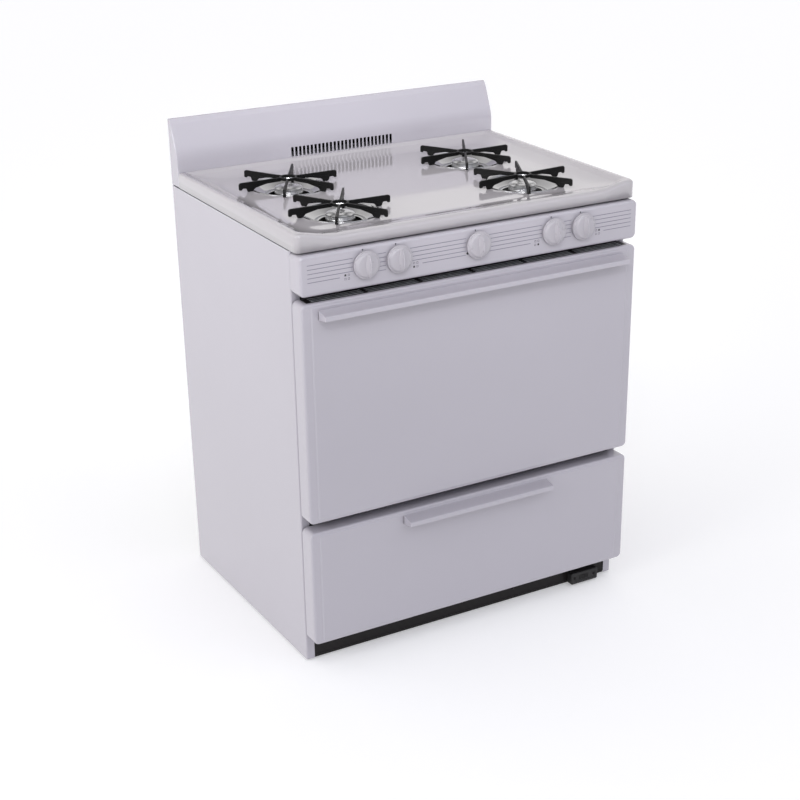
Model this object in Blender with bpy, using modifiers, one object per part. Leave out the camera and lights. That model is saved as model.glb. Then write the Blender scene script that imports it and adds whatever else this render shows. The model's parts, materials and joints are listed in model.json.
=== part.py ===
"""Freestanding gas range, 30-inch class: cabinet, lift-up cooktop, oven door, broiler drawer.

Metres. X runs to the right, Y to the back, Z up. The origin is at the middle of the footprint,
on the floor. Each sub-part is one closed solid; touching parts keep a gap of about 0.3 mm.
"""
import bmesh
import bpy
from math import pi, radians
from mathutils import Matrix, Vector

# ---- driving dimensions -------------------------------------------------------------------
HALF_W = 0.380              # half the width of cabinet, cooktop and backguard
FRONT = -0.239              # front edges of the side panels
REAR = 0.311                # rear of the side panels and backguard
BASE_Z = 0.004              # lower edge of the side panels, with the feet screwed in
SIDE_TOP = 0.8665           # upper edge of the side panels
GAP = 0.0003                # between two parts that touch
SHEET = 0.0015              # pressed steel of covers and pans

COOK_FRONT = -0.2694        # front of the cooktop's apron
COOK_BACK = 0.2725          # where the cooktop meets the backguard
COOK_LOW = 0.8685           # lower edge of the apron
COOK_RIM = 0.904            # top of the raised rim
BASIN_Z = 0.886             # surface that the grates stand on
BASIN_SHEET = 0.002

PANEL_FRONT = -0.2798       # face of the control panel
PANEL_LOW = 0.786
PANEL_HIGH = 0.865
DOOR_FRONT = -0.2814        # faces of the oven door and of the drawer
DOOR_BACK = -0.2424
DOOR_LOW = 0.3245
DOOR_HIGH = 0.7725
DRAWER_LOW = 0.056
DRAWER_HIGH = 0.305
FRONT_HALF = 0.3795         # half the width of door and drawer
HANDLE_REACH = -0.311       # foremost line of both handles
HINGE_Y = -0.2604           # axis of the oven door
HINGE_Z = 0.3345

KNOB_Z = 0.8315             # height of the five shafts
KNOBS = {"1": -0.2445, "2": -0.1747, "oven": 0.0, "3": 0.1747, "4": 0.2445}
KNOB_BACK = -0.2833         # back of a knob; it can be pushed 3 mm
VALVE_FACE = -0.262
PIPE_Y = -0.2185
PIPE_R = 0.0095
FEED_X = 0.3265             # the feed pipe from the rear inlet

JET_Z = KNOB_Z + 0.006
MIXER_Z = 0.840             # axis of the mixer tubes
MIXER_MOUTH_Y = -0.1985
POST_TOP = 0.831            # the burner heads stand on posts

BURNERS = {"front_left": (-0.2095, -0.1157), "rear_left": (-0.2095, 0.1091),
           "rear_right": (0.2095, 0.1091), "front_right": (0.2095, -0.1157)}
BOWL_R = 0.078
BOWL_HOLE_R = 0.043
HEAD_R = 0.029
HEAD_TOP = 0.8822
GRATE_TOP = 0.906
GRATE_REACH = 0.1086

OVEN_HALF = 0.300           # inside of the oven
OVEN_LOW = 0.376
OVEN_HIGH = 0.745
OVEN_BACK = 0.2605
RACK_LEVELS = (0.445, 0.495, 0.545, 0.595, 0.645)
RACK_AT = (0.495, 0.595)

TUB_HALF = 0.325            # broiler drawer behind its front
TUB_LOW = 0.066
TUB_HIGH = 0.200
TUB_BACK = 0.210

FOOT_X = 0.352
FOOT_Y = (-0.195, 0.275)

# ---- scene --------------------------------------------------------------------------------
for old in list(bpy.data.objects):
    bpy.data.objects.remove(old, do_unlink=True)

parts = bpy.data.collections.new("freestanding_gas_range")
tools = bpy.data.collections.new("cutters")
bpy.context.scene.collection.children.link(parts)
bpy.context.scene.collection.children.link(tools)


def material(name, colour, roughness, metallic=0.0):
    made = bpy.data.materials.new(name)
    made.use_nodes = True
    shader = made.node_tree.nodes["Principled BSDF"]
    shader.inputs["Base Color"].default_value = (*colour, 1.0)
    shader.inputs["Roughness"].default_value = roughness
    shader.inputs["Metallic"].default_value = metallic
    return made


WHITE = material("white_enamel", (0.78, 0.76, 0.80), 0.22)
WHITE_TOP = material("porcelain", (0.80, 0.78, 0.80), 0.10)
WHITE_PLASTIC = material("white_plastic", (0.76, 0.75, 0.78), 0.35)
BLACK = material("black_enamel", (0.02, 0.018, 0.018), 0.35)
IRON = material("cast_iron", (0.012, 0.012, 0.012), 0.5)
DARK_PORCELAIN = material("oven_porcelain", (0.10, 0.11, 0.14), 0.25)
CHROME = material("chrome", (0.85, 0.85, 0.86), 0.08, 1.0)
ALUMINIUM = material("aluminium", (0.66, 0.66, 0.66), 0.38, 1.0)
STEEL = material("zinc_steel", (0.52, 0.53, 0.54), 0.42, 1.0)
FIBRE = material("glass_fibre", (0.42, 0.40, 0.36), 0.95)


# ---- building blocks ----------------------------------------------------------------------
def finish(mesh, name, finish_material, collection, smooth_angle=None):
    obj = bpy.data.objects.new(name, mesh)
    mesh.materials.clear()
    if finish_material:
        mesh.materials.append(finish_material)
    collection.objects.link(obj)
    if collection is tools:
        obj.hide_render = True
        obj.display_type = "WIRE"
    if smooth_angle:
        mesh.shade_smooth()
        mesh.set_sharp_from_angle(angle=radians(smooth_angle))
    return obj


def add_box(bm, low, high):
    """A box between two corners."""
    size = Vector(high) - Vector(low)
    middle = (Vector(high) + Vector(low)) / 2
    place = Matrix.Translation(middle) @ Matrix.Diagonal((*size, 1.0))
    bmesh.ops.create_cube(bm, size=1.0, matrix=place)


def boxes(name, corner_pairs, finish_material=None, collection=tools):
    """One mesh of one or several boxes, each given by two corners."""
    bm = bmesh.new()
    for low, high in corner_pairs:
        add_box(bm, low, high)
    mesh = bpy.data.meshes.new(name)
    bm.to_mesh(mesh)
    bm.free()
    return finish(mesh, name, finish_material, collection)


def rod(name, radius, start, end, finish_material=None, collection=tools, sides=20):
    """A cylinder from start to end."""
    run = Vector(end) - Vector(start)
    turn = Vector((0, 0, 1)).rotation_difference(run.normalized()).to_matrix().to_4x4()
    place = Matrix.Translation((Vector(start) + Vector(end)) / 2) @ turn
    bm = bmesh.new()
    bmesh.ops.create_cone(bm, cap_ends=True, segments=sides, radius1=radius, radius2=radius,
                          depth=run.length, matrix=place)
    mesh = bpy.data.meshes.new(name)
    bm.to_mesh(mesh)
    bm.free()
    return finish(mesh, name, finish_material, collection, 40)


def soft_box(name, low, high, corner, edge, finish_material, collection=parts):
    """A box whose corners in the XZ plane and whose front perimeter are rounded."""
    bm = bmesh.new()
    add_box(bm, low, high)
    along_y = [e for e in bm.edges
               if abs(e.verts[0].co.x - e.verts[1].co.x) + abs(e.verts[0].co.z - e.verts[1].co.z) < 1e-6]
    bmesh.ops.bevel(bm, geom=along_y, offset=corner, segments=4, profile=0.5, affect="EDGES")
    rim = [e for e in bm.edges if all(abs(v.co.y - low[1]) < 1e-6 for v in e.verts)]
    bmesh.ops.bevel(bm, geom=rim, offset=edge, segments=3, profile=0.5, affect="EDGES")
    mesh = bpy.data.meshes.new(name)
    bm.to_mesh(mesh)
    bm.free()
    return finish(mesh, name, finish_material, collection, 35)


def prism(name, outline, x_low, x_high, finish_material=None, collection=tools):
    """A flat outline in the YZ plane, extruded along X."""
    curve = bpy.data.curves.new(name + "_outline", "CURVE")
    curve.dimensions = "2D"
    curve.fill_mode = "BOTH"
    curve.extrude = (x_high - x_low) / 2
    line = curve.splines.new("POLY")
    line.points.add(len(outline) - 1)
    for point, (y, z) in zip(line.points, outline):
        point.co = (y, z, 0.0, 1.0)
    line.use_cyclic_u = True
    flat = bpy.data.objects.new(name + "_flat", curve)
    tools.objects.link(flat)
    bpy.context.view_layer.update()
    mesh = bpy.data.meshes.new_from_object(flat.evaluated_get(bpy.context.evaluated_depsgraph_get()))
    bpy.data.objects.remove(flat, do_unlink=True)
    # the curve's x, y, z become the part's y, z, x
    stand = Matrix(((0, 0, 1, (x_low + x_high) / 2), (1, 0, 0, 0), (0, 1, 0, 0), (0, 0, 0, 1)))
    bm = bmesh.new()
    bm.from_mesh(mesh)
    bmesh.ops.transform(bm, matrix=stand, verts=bm.verts)
    bmesh.ops.remove_doubles(bm, verts=bm.verts, dist=1e-6)
    bmesh.ops.recalc_face_normals(bm, faces=bm.faces)
    bm.to_mesh(mesh)
    bm.free()
    return finish(mesh, name, finish_material, collection)


def turned(name, profile, steps, finish_material=None, collection=tools, closed=False):
    """A profile of (radius, height) points turned about Z, running down its outer side."""
    bm = bmesh.new()
    dots = [bm.verts.new((r, 0.0, z)) for r, z in profile]
    for first, second in zip(dots, dots[1:]):
        bm.edges.new((first, second))
    if closed:
        bm.edges.new((dots[-1], dots[0]))
    mesh = bpy.data.meshes.new(name)
    bm.to_mesh(mesh)
    bm.free()
    obj = finish(mesh, name, finish_material, collection)
    screw = obj.modifiers.new("turn", "SCREW")
    screw.steps = steps
    screw.render_steps = steps
    screw.use_merge_vertices = True
    screw.merge_threshold = 0.00001
    return obj


def combine(target, other, operation="DIFFERENCE"):
    """Cut the other shape from the target, or join it on."""
    step = target.modifiers.new(operation.lower(), "BOOLEAN")
    step.operation = operation
    step.solver = "EXACT"
    step.object = other


def settle(obj, smooth_angle=None):
    """Replace an object's mesh by its evaluated one, so that copies can share it."""
    bpy.context.view_layer.update()
    seen = obj.evaluated_get(bpy.context.evaluated_depsgraph_get())
    mesh = bpy.data.meshes.new_from_object(seen)
    obj.modifiers.clear()
    obj.data = mesh
    if smooth_angle:
        mesh.shade_smooth()
        mesh.set_sharp_from_angle(angle=radians(smooth_angle))
    return obj


def copies(pattern, names, places, turn=(0.0, 0.0, 0.0)):
    """Copies of a settled pattern at several places; the pattern itself is removed."""
    made = []
    for name, place in zip(names, places):
        obj = bpy.data.objects.new(name, pattern.data)
        obj.location = place
        obj.rotation_euler = turn
        parts.objects.link(obj)
        made.append(obj)
    bpy.data.objects.remove(pattern, do_unlink=True)
    return made


def ride_on_axis(axis_name, place, children):
    """An empty on a joint's axis, with the moving pieces as its children."""
    axis = bpy.data.objects.new(axis_name, None)
    axis.location = place
    axis.empty_display_size = 0.05
    parts.objects.link(axis)
    for child in children:
        child.parent = axis
        child.matrix_parent_inverse = Matrix.Translation(-Vector(place))


# ---- cabinet ------------------------------------------------------------------------------
def side_panel(side):
    """A pressed side with flanges turned in at the front and rear edges."""
    name = "side_panel_left" if side < 0 else "side_panel_right"
    flange_front = 0.018
    flange_rear = 0.014
    path = ((HALF_W - flange_front, FRONT), (HALF_W, FRONT), (HALF_W, REAR), (HALF_W - flange_rear, REAR))
    bm = bmesh.new()
    dots = [bm.verts.new((side * x, y, BASE_Z)) for x, y in path]
    edges = [bm.edges.new(pair) for pair in zip(dots, dots[1:])]
    raised = bmesh.ops.extrude_edge_only(bm, edges=edges)["geom"]
    top = [item for item in raised if isinstance(item, bmesh.types.BMVert)]
    bmesh.ops.translate(bm, verts=top, vec=(0, 0, SIDE_TOP - BASE_Z))
    bmesh.ops.recalc_face_normals(bm, faces=bm.faces)
    outer = max(bm.faces, key=lambda f: f.calc_area())
    if outer.normal.x * side < 0:
        bmesh.ops.reverse_faces(bm, faces=bm.faces)
    mesh = bpy.data.meshes.new(name)
    bm.to_mesh(mesh)
    bm.free()
    panel = finish(mesh, name, WHITE, parts)
    shell = panel.modifiers.new("sheet", "SOLIDIFY")
    shell.thickness = SHEET
    shell.offset = -1.0
    shell.use_even_offset = True
    return panel


def rear_cover():
    """The back sheet, with cooling slots and the hole for the gas inlet."""
    back = REAR - SHEET - GAP
    cover = boxes("rear_cover", [((-0.378, back - SHEET, 0.050), (0.378, back, 0.860))], STEEL, parts)
    slots = []
    for row in range(2):
        for column in range(6):
            x = -0.225 + 0.09 * column
            z = 0.14 + 0.03 * row
            slots.append(((x - 0.032, back - 0.01, z), (x + 0.032, back + 0.01, z + 0.010)))
    combine(cover, boxes("rear_slots_cutter", slots))
    combine(cover, rod("inlet_hole_cutter", 0.016, (FEED_X, back - 0.01, KNOB_Z),
                       (FEED_X, back + 0.01, KNOB_Z), sides=16))


def base_frame():
    """The bottom chassis: a ring of rails, drawer runners and four threaded corners."""
    low = BASE_Z + 0.001
    high = 0.046
    half = HALF_W - SHEET - 0.0005
    front = FRONT + 0.006
    rear = REAR - 0.005
    frame = boxes("base_frame", [((-half, front, low), (half, rear, high))], STEEL, parts)
    window_front = front + 0.030
    window_rear = rear - 0.030
    combine(frame, boxes("base_window_cutter", [((-0.295, window_front, 0), (0.295, window_rear, 0.1))]))
    hollows = []
    for side in (-1, 1):
        xs = sorted((side * 0.300, side * 0.335))
        hollows.append(((xs[0], window_front, low + 0.003), (xs[1], window_rear, 0.1)))
    combine(frame, boxes("base_hollow_cutter", hollows))
    rails = []
    shelves = []
    for side in (-1, 1):
        xs = sorted((side * 0.3355, side * 0.3495))
        rails.append(((xs[0], front + 0.002, high - 0.002), (xs[1], rear - 0.04, TUB_LOW + 0.004)))
        xs = sorted((side * 0.299, side * 0.3365))
        shelves.append(((xs[0], front + 0.002, TUB_LOW - 0.004), (xs[1], rear - 0.04, TUB_LOW - 0.0006)))
    combine(frame, boxes("runner_rails", rails), "UNION")
    combine(frame, boxes("runner_shelves", shelves), "UNION")
    for side in (-1, 1):
        for y in FOOT_Y:
            hole = rod("foot_hole_cutter", 0.0058, (side * FOOT_X, y, -0.01), (side * FOOT_X, y, 0.060))
            combine(frame, hole)


def leveling_feet():
    """Screw-in feet: a round pad under a threaded post."""
    pattern = turned("foot_pattern", ((0, 0.043), (0.005, 0.043), (0.005, 0.0038), (0.0125, 0.0038),
                                      (0.014, 0.0028), (0.014, 0.0), (0, 0.0)), 16, STEEL, parts)
    settle(pattern, 40)
    names = ("foot_front_left", "foot_rear_left", "foot_front_right", "foot_rear_right")
    places = [(side * FOOT_X, y, 0.0) for side in (-1, 1) for y in FOOT_Y]
    copies(pattern, names, places)


def toe_plate():
    """The black strip below the drawer."""
    boxes("toe_plate", [((-0.3612, FRONT + 0.0010, BASE_Z), (0.3612, FRONT + 0.0030, 0.0535))], BLACK, parts)


def battery_box():
    """The igniter's battery holder, in front of the toe plate at the right."""
    box = soft_box("battery_box", (0.264, FRONT - 0.018, 0.0045), (0.334, FRONT + 0.0007, 0.0315),
                   0.003, 0.0015, BLACK)
    combine(box, boxes("battery_lid_cutter", [((0.270, FRONT - 0.019, 0.0095),
                                               (0.328, FRONT - 0.0168, 0.0265))]))


def front_frame():
    """The black frame behind door and drawer, with the oven's and the drawer's openings."""
    front = FRONT + SHEET + GAP
    frame = boxes("front_frame", [((-0.378, front, 0.0545), (0.378, front + SHEET, 0.864))], BLACK, parts)
    openings = [((-TUB_HALF - 0.006, -0.30, 0.0600), (TUB_HALF + 0.006, -0.20, 0.300)),
                ((-OVEN_HALF - 0.0018, -0.30, 0.352), (OVEN_HALF + 0.0018, -0.20, OVEN_HIGH + 0.0018)),
                ((-0.345, -0.30, 0.795), (0.345, -0.20, 0.859))]
    for side in (-1, 1):
        xs = sorted((side * 0.3225, side * 0.3375))
        openings.append(((xs[0], -0.30, 0.3235), (xs[1], -0.20, 0.3455)))
    combine(frame, boxes("front_openings_cutter", openings))
    vents = []
    for step in range(14):
        x = -0.2925 + 0.045 * step
        vents.append(((x - 0.016, -0.30, 0.7735), (x + 0.016, -0.20, 0.7795)))
    combine(frame, boxes("front_vents_cutter", vents))


# ---- oven ---------------------------------------------------------------------------------
def oven_liner():
    """The oven's walls and ceiling, with five pairs of rack ledges; open in front and below."""
    front = FRONT + 2 * SHEET + 2 * GAP
    outer = OVEN_HALF + SHEET
    low = 0.331
    liner = boxes("oven_liner", [((-outer, front, low), (outer, OVEN_BACK + SHEET, OVEN_HIGH + SHEET))],
                  DARK_PORCELAIN, parts)
    combine(liner, boxes("oven_cavity_cutter", [((-OVEN_HALF, front - 0.05, low - 0.05),
                                                 (OVEN_HALF, OVEN_BACK, OVEN_HIGH))]))
    ledges = []
    for level in RACK_LEVELS:
        for side in (-1, 1):
            xs = sorted((side * (OVEN_HALF - 0.011), side * (OVEN_HALF + 0.0005)))
            ledges.append(((xs[0], front + 0.012, level - 0.0045), (xs[1], OVEN_BACK - 0.02, level - 0.0006)))
    for side in (-1, 1):
        xs = sorted((side * (OVEN_HALF - 0.011), side * (OVEN_HALF + 0.0005)))
        ledges.append(((xs[0], front + 0.002, OVEN_LOW - 0.0055),
                       (xs[1], OVEN_BACK - 0.01, OVEN_LOW - 0.0023)))
    combine(liner, boxes("oven_ledges", ledges), "UNION")
    combine(liner, boxes("flue_hole_cutter", [((-0.120, 0.225, OVEN_HIGH - 0.01),
                                               (0.120, 0.252, OVEN_HIGH + 0.01))]))


def oven_bottom():
    """The lift-out floor of the oven, with heat slots along both sides."""
    front = FRONT + 2 * SHEET + 2 * GAP + 0.001
    half = OVEN_HALF - 0.0008
    floor = boxes("oven_bottom", [((-half, front, OVEN_LOW - 0.002), (half, OVEN_BACK - 0.001, OVEN_LOW))],
                  DARK_PORCELAIN, parts)
    combine(floor, boxes("floor_lip", [((-half, front, OVEN_LOW - 0.0005),
                                        (half, front + 0.002, OVEN_LOW + 0.008))]), "UNION")
    slots = []
    for side in (-1, 1):
        for step in range(6):
            xs = sorted((side * 0.262, side * 0.280))
            y = -0.18 + 0.068 * step
            slots.append(((xs[0], y, 0.3), (xs[1], y + 0.048, 0.4)))
    combine(floor, boxes("floor_slots_cutter", slots))


def oven_burner():
    """The tubular burner under the oven floor, which also heats the broiler drawer."""
    z = 0.348
    burner = rod("oven_burner", 0.011, (0, -0.12, z), (0, 0.2595, z), STEEL, parts, 12)
    for side in (-1, 1):
        combine(burner, rod("burner_arm", 0.009, (side * 0.09, -0.09, z), (side * 0.09, 0.17, z), sides=10),
                "UNION")
    for y in (-0.075, 0.155):
        combine(burner, rod("burner_bridge", 0.0085, (-0.088, y, z), (0.088, y, z), sides=10), "UNION")


def oven_rack_pattern():
    """A wire rack: a closed frame, rods running front to back and two cross bars."""
    half_x = OVEN_HALF - 0.004
    half_y = 0.210
    bar = 0.005
    rack = boxes("rack_pattern", [((-half_x, -half_y, 0), (half_x, half_y, bar))], CHROME, parts)
    combine(rack, boxes("rack_window_cutter", [((-half_x + bar, -half_y + bar, -0.01),
                                                (half_x - bar, half_y - bar, 0.02))]))
    rods = []
    for step in range(11):
        x = -0.250 + 0.050 * step
        rods.append(((x - 0.0018, -half_y + 0.002, 0.0012), (x + 0.0018, half_y - 0.002, 0.0046)))
    combine(rack, boxes("rack_rods", rods), "UNION")
    bars = [((-half_x + 0.002, y - 0.0022, -0.0026), (half_x - 0.002, y + 0.0022, 0.0020))
            for y in (-0.075, 0.085)]
    combine(rack, boxes("rack_bars", bars), "UNION")
    combine(rack, boxes("rack_end_cutter", [((-0.4, -0.4, -0.01), (-half_x + 0.012, 0.4, 0.0)),
                                            ((half_x - 0.012, -0.4, -0.01), (0.4, 0.4, 0.0))]))
    return settle(rack)


def oven_racks():
    places = [(0, 0.0, level) for level in RACK_AT]
    copies(oven_rack_pattern(), ("oven_rack_lower", "oven_rack_upper"), places)


def flue_duct():
    """The flue from the oven's ceiling up behind the cooktop, open at both ends."""
    low = OVEN_HIGH + SHEET + GAP
    duct = boxes("flue_duct", [((-0.130, 0.220, low), (0.130, 0.305, 0.790))], STEEL, parts)
    combine(duct, boxes("flue_riser", [((-0.130, 0.2765, 0.780), (0.130, 0.305, 0.9030))]), "UNION")
    combine(duct, boxes("flue_foot_cutter", [((-0.1285, 0.2215, low - 0.01), (0.1285, 0.3035, 0.7885))]))
    combine(duct, boxes("flue_riser_cutter", [((-0.1285, 0.2780, 0.7600), (0.1285, 0.3035, 0.9100))]))


# ---- burners and gas ----------------------------------------------------------------------
def burner_tray():
    """The sheet under the burners, with four posts that carry the burner heads."""
    low = 0.800
    front = FRONT + 0.010
    tray = boxes("burner_tray", [((-0.3765, front, low), (0.3765, 0.274, low + 0.022))], STEEL, parts)
    combine(tray, boxes("tray_cutter", [((-0.3750, front + SHEET, low + SHEET),
                                         (0.3750, 0.2725, low + 0.05))]))
    combine(tray, boxes("tray_front_cutter", [((-0.345, -0.30, low + 0.0045), (0.345, front + 0.004, 0.86))]))
    for x, y in BURNERS.values():
        combine(tray, rod("burner_post", 0.010, (x, y, low + 0.001), (x, y, POST_TOP), sides=16), "UNION")
    combine(tray, boxes("tray_pipe_cutter", [((FEED_X - 0.012, 0.26, 0.818), (FEED_X + 0.012, 0.29, 0.86))]))


def gas_manifold():
    """The gas rail with four taps, their jets, and the feed pipe from the rear inlet."""
    pipe = rod("gas_manifold", PIPE_R, (-0.290, PIPE_Y, KNOB_Z), (0.335, PIPE_Y, KNOB_Z), STEEL, parts, 12)
    feed = rod("feed_pipe", 0.0085, (FEED_X, PIPE_Y - 0.004, KNOB_Z), (FEED_X, 0.3075, KNOB_Z), sides=12)
    combine(pipe, feed, "UNION")
    for name, x in KNOBS.items():
        if name == "oven":
            continue
        tap = rod("tap_body", 0.0090, (x, VALVE_FACE, KNOB_Z), (x, PIPE_Y, KNOB_Z), sides=12)
        combine(pipe, tap, "UNION")
        jet = rod("tap_jet", 0.0042, (x, PIPE_Y + 0.004, JET_Z), (x, MIXER_MOUTH_Y - 0.005, JET_Z), sides=8)
        combine(pipe, jet, "UNION")
        bore = rod("tap_bore_cutter", 0.0034, (x, VALVE_FACE - 0.01, KNOB_Z), (x, VALVE_FACE + 0.016, KNOB_Z),
                   sides=10)
        combine(pipe, bore)


def oven_thermostat():
    """The oven control in front of the gas rail."""
    back = PIPE_Y - PIPE_R - GAP
    body = boxes("oven_thermostat", [((-0.021, VALVE_FACE + 0.002, KNOB_Z - 0.019),
                                      (0.021, back, KNOB_Z + 0.019))], ALUMINIUM, parts)
    combine(body, rod("thermostat_nose", 0.009, (0, VALVE_FACE, KNOB_Z), (0, back - 0.004, KNOB_Z)), "UNION")
    combine(body, rod("thermostat_bore_cutter", 0.0034, (0, VALVE_FACE - 0.01, KNOB_Z),
                      (0, VALVE_FACE + 0.016, KNOB_Z), sides=12))


def valve_stems():
    """The shafts that the knobs sit on; each slides 3 mm into its tap."""
    pattern = rod("stem_pattern", 0.0030, (0, -0.2920, 0), (0, VALVE_FACE + 0.0115, 0), STEEL, parts, 10)
    copies(pattern, ["valve_stem_" + name for name in KNOBS], [(x, 0.0, KNOB_Z) for x in KNOBS.values()])


def knobs():
    """Round knobs with a raised grip, a flat skirt and a blind bore for the stem."""
    profile = ((0, 0.0125), (0.0165, 0.0125), (0.0222, 0.0096), (0.0238, 0.0056), (0.0267, 0.0044),
               (0.0267, 0.0), (0, 0.0))
    pattern = turned("knob_pattern", profile, 20, WHITE_PLASTIC, parts)
    bm = bmesh.new()
    add_box(bm, (-0.0052, -0.0205, 0.004), (0.0052, 0.0205, 0.0225))
    upright = [e for e in bm.edges if abs(e.verts[0].co.z - e.verts[1].co.z) > 0.01]
    bmesh.ops.bevel(bm, geom=upright, offset=0.0040, segments=2, profile=0.5, affect="EDGES")
    top = [e for e in bm.edges if all(v.co.z > 0.022 for v in e.verts)]
    bmesh.ops.bevel(bm, geom=top, offset=0.0018, segments=1, profile=0.5, affect="EDGES")
    mesh = bpy.data.meshes.new("knob_grip")
    bm.to_mesh(mesh)
    bm.free()
    grip = finish(mesh, "knob_grip", None, tools)
    combine(pattern, grip, "UNION")
    combine(pattern, rod("knob_bore_cutter", 0.0033, (0, 0, -0.005), (0, 0, 0.0092), sides=10))
    settle(pattern, 35)
    copies(pattern, ["knob_" + name for name in KNOBS],
           [(x, KNOB_BACK, KNOB_Z) for x in KNOBS.values()], (pi / 2, 0, 0))


def burner_head(name, place, tap_x):
    """A cast head on a neck, joined to the mixer tube that comes from its tap."""
    base = POST_TOP + GAP
    profile = ((0, HEAD_TOP), (HEAD_R, HEAD_TOP), (HEAD_R, 0.8735), (0.016, 0.8660), (0.0135, 0.8600),
               (0.0135, base), (0, base))
    head = turned(name, [(r, z - base) for r, z in profile], 20, ALUMINIUM, parts)
    head.location = (place[0], place[1], base)
    mouth = Vector((tap_x, MIXER_MOUTH_Y, MIXER_Z))
    neck = Vector((place[0], place[1], MIXER_Z))
    tube = rod("mixer_tube", 0.0085, mouth, neck, sides=12)
    combine(head, tube, "UNION")
    combine(head, rod("mixer_bore_cutter", 0.0068, mouth - Vector((0, 0.01, 0)), mouth + Vector((0, 0.03, 0)),
                      sides=12))


def burners():
    """Four heads with their caps."""
    for (corner, place), knob in zip(BURNERS.items(), ("1", "2", "3", "4")):
        burner_head("burner_head_" + corner, place, KNOBS[knob])
    cap = turned("cap_pattern", ((0, 0.0058), (0.0180, 0.0052), (0.0268, 0.0032), (0.0280, 0.0018),
                                 (0.0280, 0.0), (0, 0.0)), 20, ALUMINIUM, parts)
    settle(cap, 40)
    copies(cap, ["burner_cap_" + corner for corner in BURNERS],
           [(x, y, HEAD_TOP + GAP) for x, y in BURNERS.values()])


# ---- cooktop ------------------------------------------------------------------------------
def cooktop():
    """The lift-up top: apron, raised rims, recessed basin and four burner openings."""
    bm = bmesh.new()
    add_box(bm, (-HALF_W, COOK_FRONT, COOK_LOW), (HALF_W, COOK_BACK, COOK_RIM))
    corners = [e for e in bm.edges if abs(e.verts[0].co.z - e.verts[1].co.z) > 0.01
               and e.verts[0].co.y < 0]
    bmesh.ops.bevel(bm, geom=corners, offset=0.012, segments=4, profile=0.5, affect="EDGES")
    top = [e for e in bm.edges if all(v.co.z > COOK_RIM - 1e-6 for v in e.verts)
           and not all(v.co.y > COOK_BACK - 1e-6 for v in e.verts)]
    bmesh.ops.bevel(bm, geom=top, offset=0.005, segments=3, profile=0.5, affect="EDGES")
    mesh = bpy.data.meshes.new("cooktop")
    bm.to_mesh(mesh)
    bm.free()
    top_sheet = finish(mesh, "cooktop", WHITE_TOP, parts, 35)

    bm = bmesh.new()
    bmesh.ops.create_cube(bm, size=1.0)
    for vert in bm.verts:
        lower = vert.co.z < 0
        inset = 0.030 if lower else 0.014
        inset_back = 0.030 if lower else 0.004
        vert.co.x = (HALF_W - inset) * (1 if vert.co.x > 0 else -1)
        vert.co.y = COOK_BACK - inset_back if vert.co.y > 0 else COOK_FRONT + inset + 0.004
        vert.co.z = BASIN_Z if lower else COOK_RIM + 0.00001
    mesh = bpy.data.meshes.new("basin_cutter")
    bm.to_mesh(mesh)
    bm.free()
    combine(top_sheet, finish(mesh, "basin_cutter", None, tools))

    under = BASIN_Z - BASIN_SHEET
    wall = 0.002
    combine(top_sheet, boxes("under_cutter", [((-HALF_W + wall, COOK_FRONT + wall, COOK_LOW - 0.01),
                                               (HALF_W - wall, COOK_BACK - wall, under))]))
    rim_hollows = [((-HALF_W + 0.012, COOK_FRONT + wall, under - 0.001),
                    (HALF_W - 0.012, COOK_FRONT + 0.014, COOK_RIM - 0.005))]
    for side in (-1, 1):
        xs = sorted((side * (HALF_W - 0.011), side * (HALF_W - wall)))
        rim_hollows.append(((xs[0], COOK_FRONT + 0.016, under - 0.001),
                            (xs[1], COOK_BACK - wall, COOK_RIM - 0.005)))
    combine(top_sheet, boxes("rim_hollow_cutter", rim_hollows))
    for x, y in BURNERS.values():
        combine(top_sheet, rod("burner_hole_cutter", BOWL_R - 0.0022, (x, y, 0.86), (x, y, 0.91), sides=32))
    return top_sheet


def drip_bowls():
    """Chrome bowls hung in the burner openings by their rolled rims."""
    rim = BASIN_Z + GAP
    profile = ((0.0722, rim + 0.0024), (BOWL_R, rim + 0.0012), (BOWL_R, rim), (0.0740, rim),
               (0.0705, rim - 0.0060), (0.0565, rim - 0.0155), (BOWL_HOLE_R, rim - 0.0180),
               (BOWL_HOLE_R, rim - 0.0165), (0.0560, rim - 0.0139), (0.0688, rim - 0.0052))
    pattern = turned("bowl_pattern", profile, 24, CHROME, parts, closed=True)
    settle(pattern, 50)
    return copies(pattern, ["drip_bowl_" + corner for corner in BURNERS],
                  [(x, y, 0.0) for x, y in BURNERS.values()])


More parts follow.
